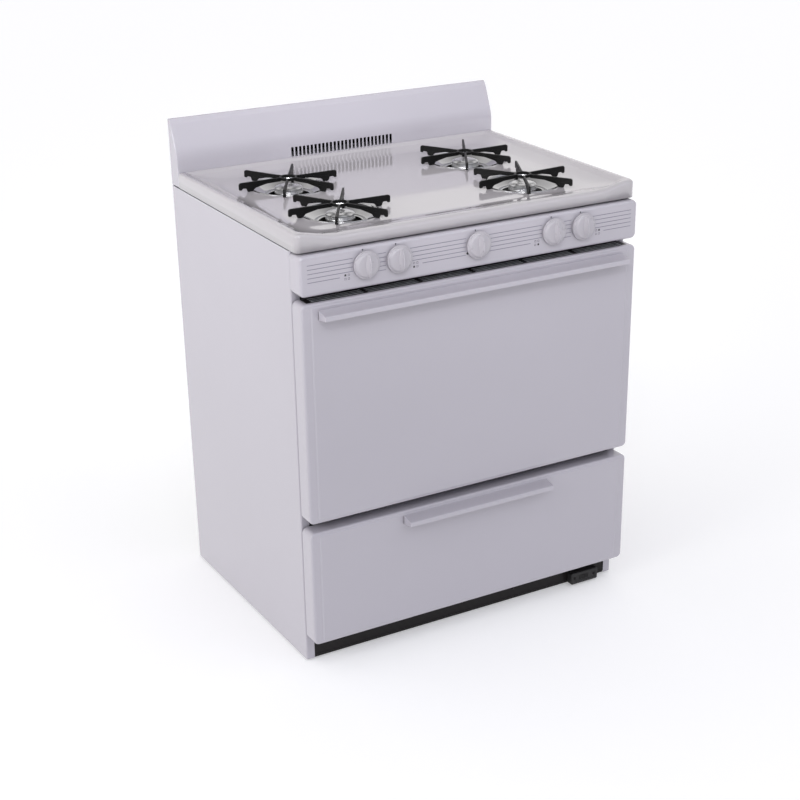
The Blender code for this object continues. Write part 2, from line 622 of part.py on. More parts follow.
def grates():
    """Six-armed grates: arms on edge, joined by a small ring, each with a foot near its end."""
    foot_low = BASIN_Z + GAP
    ring_low = GRATE_TOP - 0.0052
    outline = ((0.0150, GRATE_TOP), (GRATE_REACH - 0.003, GRATE_TOP), (GRATE_REACH, GRATE_TOP - 0.003),
               (GRATE_REACH, 0.8905), (GRATE_REACH - 0.002, 0.8895), (0.0950, 0.8900), (0.0925, foot_low),
               (0.0845, foot_low), (0.0800, 0.8925), (0.0640, 0.8975), (0.0400, 0.9000), (0.0150, ring_low))
    thick = 0.0042
    bm = bmesh.new()
    arm = prism("grate_arm", outline, -thick / 2, thick / 2)
    for step in range(6):
        piece = bmesh.new()
        piece.from_mesh(arm.data)
        # the outline's y is the arm's radius
        turn = Matrix.Rotation(step * pi / 3 - pi / 2, 4, "Z")
        bmesh.ops.transform(piece, matrix=turn, verts=piece.verts)
        holder = bpy.data.meshes.new("grate_arm_turned")
        piece.to_mesh(holder)
        piece.free()
        bm.from_mesh(holder)
    mesh = bpy.data.meshes.new("grate_arms")
    bm.to_mesh(mesh)
    bm.free()
    arms = finish(mesh, "grate_arms", None, tools)
    pattern = turned("grate_pattern", ((0.0130, GRATE_TOP - 0.0002), (0.0190, GRATE_TOP - 0.0002),
                                       (0.0190, ring_low + 0.0002), (0.0130, ring_low + 0.0002)), 12,
                     IRON, parts, closed=True)
    combine(pattern, arms, "UNION")
    settle(pattern)
    return copies(pattern, ["grate_" + corner for corner in BURNERS],
                  [(x, y, 0.0) for x, y in BURNERS.values()])


def backguard():
    """The folded splash guard with the row of flue slots; open underneath."""
    face = COOK_BACK + 0.0005
    bend = 0.934
    low = COOK_LOW
    outer = ((face, low), (face, bend - 0.008), (face + 0.0012, bend), (face + 0.0035, bend + 0.008),
             (0.2985, 0.9945), (0.3010, 1.0005), (0.3050, 1.0040), (REAR, 1.0040), (REAR, low))
    wall = 0.0018
    inner = ((face + wall, low - 0.01), (face + wall, bend - 0.006), (face + 0.0055, bend + 0.008),
             (0.3005, 0.9940), (0.3035, 1.0005), (REAR - wall, 1.0015), (REAR - wall, low - 0.01))
    guard = prism("backguard", outer, -HALF_W, HALF_W, WHITE, parts)
    combine(guard, prism("backguard_hollow_cutter", inner, -HALF_W + wall, HALF_W - wall))
    slots = []
    pitch = 0.00915
    for step in range(-13, 14):
        x = step * pitch
        slots.append(((x - 0.0028, face - 0.01, COOK_RIM + 0.0005), (x + 0.0028, face + 0.01, 0.9205)))
    combine(guard, boxes("flue_slots_cutter", slots))


# ---- control panel, door and drawer -------------------------------------------------------
def control_panel():
    """The pressed panel that carries the five knobs, open at the back."""
    panel = soft_box("control_panel", (-HALF_W, PANEL_FRONT, PANEL_LOW), (HALF_W, FRONT - 0.0010, PANEL_HIGH),
                     0.008, 0.004, WHITE)
    combine(panel, boxes("panel_cutter", [((-HALF_W + 0.002, PANEL_FRONT + 0.002, PANEL_LOW + 0.002),
                                           (HALF_W - 0.002, FRONT + 0.05, PANEL_HIGH - 0.002))]))
    for x in KNOBS.values():
        combine(panel, rod("shaft_hole_cutter", 0.0050, (x, PANEL_FRONT - 0.01, KNOB_Z),
                           (x, PANEL_FRONT + 0.01, KNOB_Z), sides=10))


def handle(name, half_length, top):
    """A hooked pull: sloped top, front lip and closed ends, open below for the fingers."""
    face = DOOR_FRONT - GAP
    outer = ((face, top), (HANDLE_REACH + 0.002, top - 0.0022), (HANDLE_REACH, top - 0.0042),
             (HANDLE_REACH, top - 0.0140), (face, top - 0.0200))
    inner = ((face + 0.01, top - 0.0028), (face - 0.002, top - 0.0030), (HANDLE_REACH + 0.0028, top - 0.0054),
             (HANDLE_REACH + 0.0028, top - 0.030), (face + 0.01, top - 0.030))
    pull = prism(name, outer, -half_length, half_length, WHITE, parts)
    combine(pull, prism(name + "_finger_cutter", inner, -half_length + 0.0025, half_length - 0.0025))
    return pull


def oven_door():
    """Outer pan, inner panel, gasket and handle; they turn together about the lower edge."""
    outer = soft_box("door_outer", (-FRONT_HALF, DOOR_FRONT, DOOR_LOW), (FRONT_HALF, DOOR_BACK, DOOR_HIGH),
                     0.008, 0.004, WHITE)
    wall = 0.002
    combine(outer, boxes("door_cutter", [((-FRONT_HALF + wall, DOOR_FRONT + wall, DOOR_LOW + wall),
                                          (FRONT_HALF - wall, 0.0, DOOR_HIGH - wall))]))
    notches = []
    for side in (-1, 1):
        xs = sorted((side * 0.3220, side * 0.3380))
        notches.append(((xs[0], -0.2720, DOOR_LOW - 0.01), (xs[1], -0.2300, DOOR_LOW + 0.0200)))
    combine(outer, boxes("door_notch_cutter", notches))

    gap = wall + 0.0005
    liner = boxes("door_liner", [((-FRONT_HALF + gap, DOOR_BACK - 0.022, DOOR_LOW + gap),
                                  (FRONT_HALF - gap, DOOR_BACK + 0.0004, DOOR_HIGH - gap))],
                  DARK_PORCELAIN, parts)
    inset = gap + wall
    hollow = ((-FRONT_HALF + inset, DOOR_BACK - 0.03, DOOR_LOW + inset),
              (FRONT_HALF - inset, DOOR_BACK - 0.0016, DOOR_HIGH - inset))
    combine(liner, boxes("door_liner_cutter", [hollow]))
    combine(liner, boxes("door_liner_notch_cutter", notches))

    seal_back = FRONT + SHEET - 0.0003
    seal = boxes("door_gasket", [((-0.334, DOOR_BACK + 0.0007, 0.3480), (0.334, seal_back, 0.7600))],
                 FIBRE, parts)
    combine(seal, boxes("gasket_cutter", [((-0.318, -0.3, 0.3600), (0.318, 0.0, 0.7480))]))
    pull = handle("door_handle", 0.346, 0.7595)
    ride_on_axis("door_axis", (0, HINGE_Y, HINGE_Z), (outer, liner, seal, pull))


def door_hinges():
    """Fixed arms that reach from the frame into the door's lower edge, with the pins."""
    for side, name in ((-1, "door_hinge_left"), (1, "door_hinge_right")):
        centre = side * 0.330
        outline = ((-0.2280, 0.3440), (HINGE_Y, HINGE_Z + 0.0055), (HINGE_Y - 0.0045, HINGE_Z + 0.0035),
                   (HINGE_Y - 0.0055, HINGE_Z), (HINGE_Y - 0.0045, HINGE_Z - 0.0035),
                   (HINGE_Y, HINGE_Z - 0.0055), (-0.2280, 0.3250))
        arm = prism(name, outline, centre - 0.0025, centre + 0.0025, STEEL, parts)
        pin = rod("hinge_pin", 0.0032, (centre - 0.0065, HINGE_Y, HINGE_Z),
                  (centre + 0.0065, HINGE_Y, HINGE_Z), sides=16)
        combine(arm, pin, "UNION")
        xs = sorted((side * (OVEN_HALF + SHEET + 0.0006), side * 0.3420))
        plate = boxes("hinge_plate", [((xs[0], -0.2345, 0.3225), (xs[1], -0.2265, 0.3500))])
        combine(arm, plate, "UNION")


def broiler_drawer():
    """Drawer front, tub, handle, broiler pan and its slotted grid; they slide together."""
    wall = 0.002
    front = soft_box("drawer_front", (-FRONT_HALF, DOOR_FRONT, DRAWER_LOW),
                     (FRONT_HALF, DOOR_BACK, DRAWER_HIGH), 0.008, 0.004, WHITE)
    combine(front, boxes("drawer_front_cutter", [((-FRONT_HALF + wall, DOOR_FRONT + wall, DRAWER_LOW + wall),
                                                  (FRONT_HALF - wall, 0.0, DRAWER_HIGH - wall))]))
    tub_front = DOOR_FRONT + wall + GAP
    tub = boxes("drawer_tub", [((-TUB_HALF, tub_front, TUB_LOW), (TUB_HALF, TUB_BACK, TUB_HIGH))],
                STEEL, parts)
    combine(tub, boxes("tub_cutter", [((-TUB_HALF + wall, tub_front + wall, TUB_LOW + wall),
                                       (TUB_HALF - wall, TUB_BACK - wall, 0.4))]))
    combine(tub, boxes("tub_front_plate", [((-TUB_HALF, tub_front, TUB_LOW),
                                            (TUB_HALF, tub_front + wall, DRAWER_HIGH - 0.009))]), "UNION")
    handle("drawer_handle", 0.1725, 0.2967)
    pan_low = TUB_LOW + wall + GAP
    pan_high = TUB_LOW + 0.047
    pan = boxes("broiler_pan", [((-0.200, -0.170, pan_low), (0.200, 0.150, pan_high))], DARK_PORCELAIN, parts)
    combine(pan, boxes("pan_cutter", [((-0.198, -0.168, pan_low + wall), (0.198, 0.148, 0.2))]))
    top = pan_high + GAP
    grid = boxes("broiler_grid", [((-0.203, -0.173, top), (0.203, 0.153, top + wall))], DARK_PORCELAIN, parts)
    slots = []
    for row in range(2):
        for step in range(9):
            x = -0.160 + 0.040 * step
            y = -0.145 + 0.147 * row
            slots.append(((x - 0.005, y, 0.05), (x + 0.005, y + 0.123, 0.2)))
    combine(grid, boxes("grid_slots_cutter", slots))


def build():
    for side in (-1, 1):
        side_panel(side)
    rear_cover()
    base_frame()
    leveling_feet()
    toe_plate()
    battery_box()
    front_frame()
    oven_liner()
    oven_bottom()
    oven_burner()
    oven_racks()
    flue_duct()
    burner_tray()
    gas_manifold()
    oven_thermostat()
    valve_stems()
    knobs()
    burners()
    lifted = [cooktop(), *drip_bowls(), *grates()]
    ride_on_axis("cooktop_axis", (0, COOK_BACK, COOK_RIM), lifted)
    backguard()
    control_panel()
    door_hinges()
    oven_door()
    broiler_drawer()


build()
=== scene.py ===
"""Looks of the freestanding gas range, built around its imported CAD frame.

Metres; X runs to the right, Y to the back, Z up. Places and sizes come from the CAD nodes' boxes.
A piece rides on the body of the node that it stands for.
"""
import json
from math import atan2, cos, pi, radians, sin, tan, tau

import bmesh
import bpy
from mathutils import Matrix, Vector


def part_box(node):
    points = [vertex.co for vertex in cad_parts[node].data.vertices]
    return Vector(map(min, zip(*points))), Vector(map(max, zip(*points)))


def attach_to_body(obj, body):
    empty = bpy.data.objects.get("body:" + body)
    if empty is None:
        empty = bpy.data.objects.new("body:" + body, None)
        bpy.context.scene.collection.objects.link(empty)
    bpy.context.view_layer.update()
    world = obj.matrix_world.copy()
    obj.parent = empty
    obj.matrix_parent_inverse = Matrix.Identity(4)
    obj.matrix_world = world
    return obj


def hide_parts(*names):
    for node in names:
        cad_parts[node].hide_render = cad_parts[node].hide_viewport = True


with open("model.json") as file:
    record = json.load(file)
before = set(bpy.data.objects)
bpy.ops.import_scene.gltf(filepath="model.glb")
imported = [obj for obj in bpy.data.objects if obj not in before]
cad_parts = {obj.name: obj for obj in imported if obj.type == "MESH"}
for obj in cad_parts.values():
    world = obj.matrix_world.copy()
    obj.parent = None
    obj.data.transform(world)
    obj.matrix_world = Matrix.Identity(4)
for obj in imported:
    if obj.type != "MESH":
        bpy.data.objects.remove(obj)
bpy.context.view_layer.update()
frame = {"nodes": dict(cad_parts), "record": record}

CORNERS = ("front_left", "rear_left", "rear_right", "front_right")
KNOBS = ("1", "2", "oven", "3", "4")
SIDES = ("left", "right")

WHITE = (0.448, 0.427, 0.468)
TOP_WHITE = (0.436, 0.415, 0.431)
MM = 0.001


def low(node):
    return Vector(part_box(node)[0])


def high(node):
    return Vector(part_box(node)[1])


def ends(node):
    return low(node), high(node)


def middle(node):
    return (low(node) + high(node)) / 2


def half_width(node):
    return 0.5 * (high(node).x - low(node).x)


def over(node):
    """The move from the origin to a node's upright axis."""
    return Matrix.Translation((middle(node).x, middle(node).y, 0.0))


FEED_X = high("gas_manifold").x - 0.0085
SHAFT_Z = middle("knob_oven").z


# ---- materials ----
def plain_material(name, colour, roughness, metallic=0.0, coat=0.0, coat_roughness=0.05, specular=0.5):
    """A new material with its node tree and its shader."""
    material = bpy.data.materials.new(name)
    material.use_nodes = True
    shader = material.node_tree.nodes["Principled BSDF"]
    for socket, value in (("Base Color", (*colour, 1.0)), ("Roughness", roughness), ("Metallic", metallic),
                          ("Coat Weight", coat), ("Coat Roughness", coat_roughness),
                          ("Specular IOR Level", specular)):
        shader.inputs[socket].default_value = value
    return material, material.node_tree, shader


def scaled(colour, factor):
    return tuple(channel * factor for channel in colour)


def place(tree, stretch=(1.0, 1.0, 1.0)):
    """Object coordinates, which are the row frame's, scaled along each axis."""
    coordinates = tree.nodes.new("ShaderNodeTexCoord")
    mapping = tree.nodes.new("ShaderNodeMapping")
    mapping.inputs["Scale"].default_value = stretch
    tree.links.new(coordinates.outputs["Object"], mapping.inputs["Vector"])
    return mapping.outputs["Vector"]


def noise(tree, scale, detail=3.0, stretch=(1.0, 1.0, 1.0)):
    node = tree.nodes.new("ShaderNodeTexNoise")
    node.inputs["Scale"].default_value = scale
    node.inputs["Detail"].default_value = detail
    tree.links.new(place(tree, stretch), node.inputs["Vector"])
    return node.outputs["Fac"]


def cells(tree, scale, output="Color"):
    node = tree.nodes.new("ShaderNodeTexVoronoi")
    node.inputs["Scale"].default_value = scale
    tree.links.new(place(tree), node.inputs["Vector"])
    return node.outputs[output]


def remap(tree, value, from_low, from_high, to_low, to_high):
    node = tree.nodes.new("ShaderNodeMapRange")
    for socket, number in zip(("From Min", "From Max", "To Min", "To Max"),
                              (from_low, from_high, to_low, to_high)):
        node.inputs[socket].default_value = number
    tree.links.new(value, node.inputs["Value"])
    return node.outputs["Result"]


def combined(tree, operation, first, second=None, number=0.0):
    """One value from two by an arithmetic operation; the second may be a number."""
    node = tree.nodes.new("ShaderNodeMath")
    node.operation = operation
    tree.links.new(first, node.inputs[0])
    if second:
        tree.links.new(second, node.inputs[1])
    else:
        node.inputs[1].default_value = number
    return node.outputs["Value"]


def blend_colours(tree, factor, first, second):
    node = tree.nodes.new("ShaderNodeMix")
    node.data_type = "RGBA"
    node.inputs["A"].default_value = (*first, 1.0)
    node.inputs["B"].default_value = (*second, 1.0)
    tree.links.new(factor, node.inputs["Factor"])
    return node.outputs["Result"]


def tint(shader, factor, first, second):
    """Lets the base colour follow a pattern between two colours."""
    tree = shader.id_data
    tree.links.new(blend_colours(tree, factor, first, second), shader.inputs["Base Color"])


def gloss(shader, pattern, low_roughness, high_roughness, span=(0.3, 0.7)):
    """Lets the roughness follow a pattern, whose span maps to the two roughnesses."""
    tree = shader.id_data
    tree.links.new(remap(tree, pattern, *span, low_roughness, high_roughness), shader.inputs["Roughness"])


def relief(shader, *heights):
    """Chains bumps of (height output, depth in metres) into the shader's normal."""
    tree = shader.id_data
    normal = None
    for height, depth in heights:
        node = tree.nodes.new("ShaderNodeBump")
        node.inputs["Strength"].default_value = 1.0
        node.inputs["Distance"].default_value = depth
        tree.links.new(height, node.inputs["Height"])
        if normal:
            tree.links.new(normal, node.inputs["Normal"])
        normal = node.outputs["Normal"]
    tree.links.new(normal, shader.inputs["Normal"])


def enamel(name, colour, roughness=(0.15, 0.22), coat=0.35, peel=0.000012, waviness=0.0001, specular=0.5):
    """Fired enamel on sheet steel: a slight orange peel, long soft waves and an uneven gloss."""
    material, tree, shader = plain_material(name, colour, roughness[0], 0.0, coat, 0.06, specular)
    tint(shader, noise(tree, 2.3), scaled(colour, 0.965), scaled(colour, 1.02))
    gloss(shader, noise(tree, 38.0, 5.0), *roughness)
    relief(shader, (noise(tree, 5.5, 1.0), waviness), (noise(tree, 420.0, 2.0), peel))
    return material


def speckled_porcelain(name, ground, speck):
    """Dark oven porcelain with pale specks of several sizes."""
    material, tree, shader = plain_material(name, ground, 0.2, coat=0.4)
    fine = remap(tree, cells(tree, 330.0, "Distance"), 0.1, 0.24, 1.0, 0.0)
    patches = remap(tree, noise(tree, 60.0), 0.42, 0.62, 0.0, 1.0)
    tint(shader, combined(tree, "MULTIPLY", fine, patches), ground, speck)
    gloss(shader, noise(tree, 30.0), 0.14, 0.3)
    relief(shader, (noise(tree, 300.0), 0.00002))
    return material


def moulded_plastic(name, colour, roughness):
    """Injection-moulded plastic with a fine satin texture."""
    material, tree, shader = plain_material(name, colour, roughness)
    tint(shader, noise(tree, 40.0), scaled(colour, 0.97), colour)
    gloss(shader, noise(tree, 90.0), roughness - 0.04, roughness + 0.06)
    relief(shader, (noise(tree, 2600.0, 1.0), 0.000012))
    return material


def cast_iron(name):
    """Black enamelled iron with the sand texture of the casting, rubbed on its raised spots."""
    material, tree, shader = plain_material(name, (0.006, 0.006, 0.006), 0.4, 0.0, 0.05, 0.2, 0.15)
    rubbed = remap(tree, noise(tree, 420.0, 4.0), 0.6, 0.78, 0.0, 1.0)
    tint(shader, rubbed, (0.005, 0.005, 0.005), (0.022, 0.021, 0.02))
    gloss(shader, noise(tree, 160.0), 0.34, 0.56)
    relief(shader, (noise(tree, 700.0, 3.0), 0.0001), (noise(tree, 60.0), 0.0003))
    return material


def polished_chrome(name):
    """Bright chrome with fine turning marks and a little haze."""
    material, tree, shader = plain_material(name, (0.46, 0.46, 0.47), 0.07, metallic=1.0)
    tint(shader, noise(tree, 24.0), (0.42, 0.42, 0.43), (0.5, 0.5, 0.5))
    gloss(shader, noise(tree, 180.0, 5.0), 0.05, 0.14, (0.35, 0.75))
    relief(shader, (noise(tree, 900.0), 0.000006))
    return material


def cast_aluminium(name):
    """Die-cast aluminium: satin, softly mottled, with a grain."""
    material, tree, shader = plain_material(name, (0.7, 0.7, 0.7), 0.33, metallic=1.0)
    tint(shader, noise(tree, 110.0, 4.0), (0.56, 0.56, 0.57), (0.78, 0.78, 0.78))
    gloss(shader, noise(tree, 70.0), 0.24, 0.4)
    relief(shader, (noise(tree, 1500.0), 0.00003))
    return material


def galvanised(name, colour):
    """Zinc-coated steel: crystals a few millimetres wide that differ in tone and gloss."""
    material, tree, shader = plain_material(name, colour, 0.4, metallic=1.0)
    crystals = tree.nodes.new("ShaderNodeSeparateColor")
    tree.links.new(cells(tree, 130.0), crystals.inputs["Color"])
    tint(shader, crystals.outputs["Red"], scaled(colour, 0.8), scaled(colour, 1.16))
    gloss(shader, crystals.outputs["Green"], 0.3, 0.48, (0.0, 1.0))
    relief(shader, (noise(tree, 500.0), 0.00001))
    return material


def drawn_metal(name, colour, roughness):
    """Drawn or turned metal with fine lines, stretched along Z."""
    material, tree, shader = plain_material(name, colour, roughness, metallic=1.0)
    lines = noise(tree, 220.0, 2.0, (1.0, 1.0, 30.0))
    tint(shader, lines, scaled(colour, 0.84), colour)
    gloss(shader, lines, roughness - 0.05, roughness + 0.08)
    relief(shader, (lines, 0.00001))
    return material


def braided_fibre(name):
    """Grey glass-fibre braid, whose colour follows its weave's height: painted shade darkens the grooves
    between the strands.
    """
    material, tree, shader = plain_material(name, (0.3, 0.29, 0.27), 0.95)
    strands = tree.nodes.new("ShaderNodeTexWave")
    strands.wave_type = "BANDS"
    strands.bands_direction = "DIAGONAL"
    strands.inputs["Scale"].default_value = 170.0
    strands.inputs["Distortion"].default_value = 1.2
    tree.links.new(place(tree), strands.inputs["Vector"])
    weave_relief_and_shade = strands.outputs["Fac"]
    # The tint follows the weave's height: lighter strands on top, painted shade in the grooves between them.
    tint(shader, weave_relief_and_shade, (0.16, 0.155, 0.145), (0.4, 0.385, 0.36))
    relief(shader, (weave_relief_and_shade, 0.0004), (noise(tree, 900.0), 0.0001))
    return material


def ink(name, colour):
    """Screen-printed ink, a little uneven in density."""
    material, tree, shader = plain_material(name, colour, 0.4)
    tint(shader, noise(tree, 700.0), scaled(colour, 0.85), scaled(colour, 1.15))
    return material


LOOKS = {name: make(name + "_look", *values) for name, make, *values in (
    ("white_enamel", enamel, WHITE),
    ("handle_enamel", enamel, scaled(WHITE, 1.03), (0.18, 0.26), 0.3),
    ("porcelain_top", enamel, TOP_WHITE, (0.07, 0.1), 0.5, 0.000005, 0.00004),
    ("white_plastic", moulded_plastic, (0.437, 0.417, 0.447), 0.3),
    ("black_enamel", enamel, (0.012, 0.01, 0.01), (0.3, 0.42), 0.0, 0.000012, 0.0001, 0.2),
    ("black_plastic", moulded_plastic, (0.012, 0.011, 0.011), 0.55),
    ("cast_iron", cast_iron),
    ("oven_porcelain", speckled_porcelain, (0.022, 0.027, 0.04), (0.42, 0.45, 0.5)),
    ("chrome", polished_chrome),
    ("cast_aluminium", cast_aluminium),
    ("zinc_steel", galvanised, (0.5, 0.51, 0.52)),
    ("gasket_fibre", braided_fibre),
)}
BRASS = drawn_metal("brass_look", (0.72, 0.53, 0.25), 0.3)
SCREW_STEEL = drawn_metal("screw_steel_look", (0.62, 0.62, 0.63), 0.3)
GREY_INK = ink("grey_ink_look", (0.185, 0.178, 0.215))
DARK_INK = ink("dark_ink_look", (0.035, 0.032, 0.035))


# ---- shapes ----
def fillet(points, radius, steps=6):
    """A closed outline with rounded corners; radius is one number, or one for each corner."""
    radii = radius if hasattr(radius, "__len__") else [radius] * len(points)
    outline = []
    for index, reach in enumerate(radii):
        here = Vector(points[index])
        if reach <= 0:
            outline.append(here)
            continue
        back = Vector(points[index - 1]) - here
        ahead = Vector(points[(index + 1) % len(points)]) - here
        half = back.angle(ahead) / 2
        length = min(reach / tan(half), 0.49 * back.length, 0.49 * ahead.length)
        reach = length * tan(half)
        start = here + back.normalized() * length
        end = here + ahead.normalized() * length
        centre = here + (back.normalized() + ahead.normalized()).normalized() * (reach / sin(half))
        first = atan2(start.y - centre.y, start.x - centre.x)
        last = atan2(end.y - centre.y, end.x - centre.x)
        sweep = (last - first + pi) % tau - pi
        for step in range(steps + 1):
            angle = first + sweep * step / steps
            outline.append(centre + Vector((cos(angle), sin(angle))) * reach)
    return outline


def offsets(start, *steps):
    """Points that lie millimetres away from a start."""
    return [tuple(number + MM * step for number, step in zip(start, numbers)) for numbers in steps]


def rounded_rectangle(u_low, u_high, v_low, v_high, radius, steps=6):
    return fillet(((u_low, v_low), (u_high, v_low), (u_high, v_high), (u_low, v_high)), radius, steps)


def shrunk(outline, amount):
    """The outline moved inwards by about that amount."""
    area = sum(a.x * b.y - b.x * a.y for a, b in zip(outline, outline[1:] + outline[:1]))
    turn = 1 if area > 0 else -1
    result = []
    for index, here in enumerate(outline):
        along = outline[(index + 1) % len(outline)] - outline[index - 1]
        inward = Vector((-along.y, along.x)) * turn
        result.append(here + inward.normalized() * amount)
    return result


def loft(bm, rings, close_first=True, close_last=True, loop=False):
    """Faces between rings of equally many points, with flat caps; returns the rows of vertices."""
    rows = [[bm.verts.new(point) for point in ring] for ring in rings]
    pairs = list(zip(rows, rows[1:]))
    if loop:
        pairs.append((rows[-1], rows[0]))
    count = len(rows[0])
    for first, second in pairs:
        for index in range(count):
            after = (index + 1) % count
            bm.faces.new((first[index], first[after], second[after], second[index]))
    if close_first and not loop:
        bm.faces.new(list(reversed(rows[0])))
    if close_last and not loop:
        bm.faces.new(rows[-1])
    return rows


# Where an outline's point (u, v) lies in space, at the distance w along the named axis.
def along_x(u, v, w):
    return (w, u, v)


def along_y(u, v, w):
    return (u, w, v)


def along_z(u, v, w):
    return (u, v, w)


def bar(bm, outline, start, end, edge=0.0, to_world=along_x, steps=3):
    """An outline of points (u, v) drawn out along w from start to end, with rounded rims."""
    angles = [pi / 2 * (1 - step / steps) for step in range(steps + 1)] if edge else [pi / 2]
    stations = [(edge * (1 - cos(angle)), edge * (1 - sin(angle))) for angle in angles]
    rings = [[to_world(p.x, p.y, start + depth) for p in shrunk(outline, inset)]
             for inset, depth in stations]
    rings += [[to_world(p.x, p.y, end - depth) for p in shrunk(outline, inset)]
              for inset, depth in reversed(stations)]
    loft(bm, rings)


def box(bm, corner_low, corner_high, edge=0.0005):
    """A block with slightly rounded edges."""
    (x0, y0, z0), (x1, y1, z1) = corner_low, corner_high
    outline = rounded_rectangle(y0, y1, z0, z1, edge, 2)
    bar(bm, outline, x0, x1, edge)


def lathe(bm, profile, steps=64, closed=False, turn=Matrix.Identity(4)):
    """A profile of (radius, height) points turned about Z, then moved by the matrix."""
    rings = []
    for radius, height in profile:
        count = 1 if radius < 1e-7 else steps
        rings.append([bm.verts.new(turn @ Vector((radius * cos(tau * k / steps),
                                                  radius * sin(tau * k / steps), height)))
                      for k in range(count)])
    pairs = list(zip(rings, rings[1:]))
    if closed:
        pairs.append((rings[-1], rings[0]))
    for first, second in pairs:
        for k in range(steps):
            after = (k + 1) % steps
            corners = (first[k % len(first)], first[after % len(first)],
                       second[after % len(second)], second[k % len(second)])
            face = list(dict.fromkeys(corners))
            if len(face) > 2:
                bm.faces.new(face)


def arc(centre, radius, first, last, steps):
    """Points of an arc, with angles in degrees."""
    points = []
    for step in range(steps + 1):
        angle = radians(first + (last - first) * step / steps)
        points.append(Vector((centre[0] + radius * cos(angle), centre[1] + radius * sin(angle))))
    return points


def level_rings(a, b, rows, steps=8):
    """Rounded rectangles inside a box's sides, for rows of (inset, height, corner radius)."""
    return [[(u, v, height) for u, v in rounded_rectangle(a.x + inset, b.x - inset, a.y + inset,
                                                          b.y - inset, radius, steps)]
            for inset, height, radius in rows]


def upright_ring(a, b, inset, y, radius, steps=8, z_inset=None):
    """A rounded rectangle at one depth, inside a box's sides."""
    z_inset = inset if z_inset is None else z_inset
    outline = rounded_rectangle(a.x + inset, b.x - inset, a.z + z_inset, b.z - z_inset,
                                max(radius, 0.001), steps)
    return [(u, y, v) for u, v in outline]


def link(name, data):
    obj = bpy.data.objects.new(name, data)
    bpy.context.scene.collection.objects.link(obj)
    return obj


def smooth(mesh, sharp):
    mesh.shade_smooth()
    mesh.set_sharp_from_angle(angle=radians(sharp))


def mesh_object(name, bm, material, sharp=35.0, turned=False):
    """An object of the faces, which are turned outwards first unless they already are."""
    if not turned:
        bmesh.ops.recalc_face_normals(bm, faces=bm.faces)
    mesh = bpy.data.meshes.new(name)
    bm.to_mesh(mesh)
    bm.free()
    mesh.materials.append(material)
    smooth(mesh, sharp)
    return link(name, mesh)


def combine(obj, other_bm, operation="DIFFERENCE", sharp=35.0, inside=None):
    """Applies a Boolean with a second shape, whose faces may bring another material."""
    other = mesh_object("cutter", other_bm, inside or obj.data.materials[0])
    step = obj.modifiers.new("combine", "BOOLEAN")
    step.material_mode = "TRANSFER"
    step.operation = operation
    step.solver = "EXACT"
    step.object = other
    bpy.context.view_layer.update()
    mesh = bpy.data.meshes.new_from_object(obj.evaluated_get(bpy.context.evaluated_depsgraph_get()))
    obj.modifiers.clear()
    obj.data = mesh
    mesh.name = obj.name
    bpy.data.objects.remove(other, do_unlink=True)
    smooth(mesh, sharp)


def attach(obj, body, stands_for=(), flat_faces=True):
    """Ties a piece to its body; its large flat faces are kept flat beside their rounded edges."""
    if flat_faces:
        weights = obj.modifiers.new("flat_faces", "WEIGHTED_NORMAL")
        weights.keep_sharp = True
        weights.mode = "FACE_AREA"
    if stands_for:
        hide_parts(*stands_for)
    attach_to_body(obj, body)


def add_piece(name, bm, slot, body, stands_for=(), sharp=35.0):
    """A finished piece that takes its look from the record's slot of that name."""
    attach(mesh_object(name, bm, LOOKS[slot], sharp), body, stands_for)


def wires(name, paths, radius, slot, body, stands_for=(), resolution=3):
    """Round wires along straight-sided paths; each path is (points, is closed)."""
    curve = bpy.data.curves.new(name, "CURVE")
    curve.dimensions = "3D"
    curve.bevel_depth = radius
    curve.bevel_resolution = resolution
    curve.use_fill_caps = True
    for points, closed in paths:
        line = curve.splines.new("POLY")
        line.points.add(len(points) - 1)
        for point, at in zip(line.points, points):
            point.co = (*at, 1.0)
        line.use_cyclic_u = closed
        line.use_smooth = True
    curve.materials.append(LOOKS[slot])
    attach(link(name, curve), body, stands_for, False)


def pan_rings(a, b, y_back, y_front, corner, edge, wall, border=0.0, step=0.0, slope=0.005, z_border=0.0):
    """Rings of a pressed pan within a box's sides that faces -Y and is open at the back.

    Inside its border the field steps back, or forwards when the step is negative. The border is as
    wide along the top and the bottom as at the sides, unless z_border says otherwise.
    """
    y_border = y_front - min(0.0, step)
    rows = [(edge + wall, y_border + wall + max(0.0, step), corner - edge),
            (wall, y_border + edge + wall, corner - wall), (wall, y_back, corner - wall),
            (0.0, y_back, corner)]
    for k in range(6):
        angle = pi / 2 * k / 5
        inset = edge * (1 - cos(angle))
        rows.append((inset, y_border + edge * (1 - sin(angle)), corner - inset))
    for k in range(6 if border else 0):
        share = (1 - cos(pi * k / 5)) / 2
        z_inset = z_border + 0.2 * slope * k if z_border else None
        rows.append((border + slope * k / 5, y_border + step * share, corner - edge, 8, z_inset))
    return [upright_ring(a, b, *row) for row in rows]


def hexagon(radius, centre):
    return [Vector(centre) + Vector((radius * cos(tau * k / 6), radius * sin(tau * k / 6)))
            for k in range(6)]


def screw_head(bm, at, facing, radius):
    """A domed washer-head screw with a cross recess, facing along a vector."""
    height = 0.0022
    turn = Matrix.Translation(at) @ Vector((0, 0, 1)).rotation_difference(Vector(facing)).to_matrix().to_4x4()
    dome = ((0, 1), (0.35, 0.95), (0.62, 0.72), (0.74, 0.4), (1, 0.28), (1, 0), (0, 0))
    lathe(bm, [(radius * across, height * up) for across, up in dome], 20, turn=turn)
    for angle in (0.0, pi / 2):
        blade = Matrix.Rotation(angle, 4, "Z")
        size = Matrix.Diagonal((radius * 0.9, radius * 0.16, height * 0.1, 1.0))
        lift = Matrix.Translation((0, 0, height * 0.98))
        bmesh.ops.create_cube(bm, size=1.0, matrix=turn @ lift @ blade @ size)


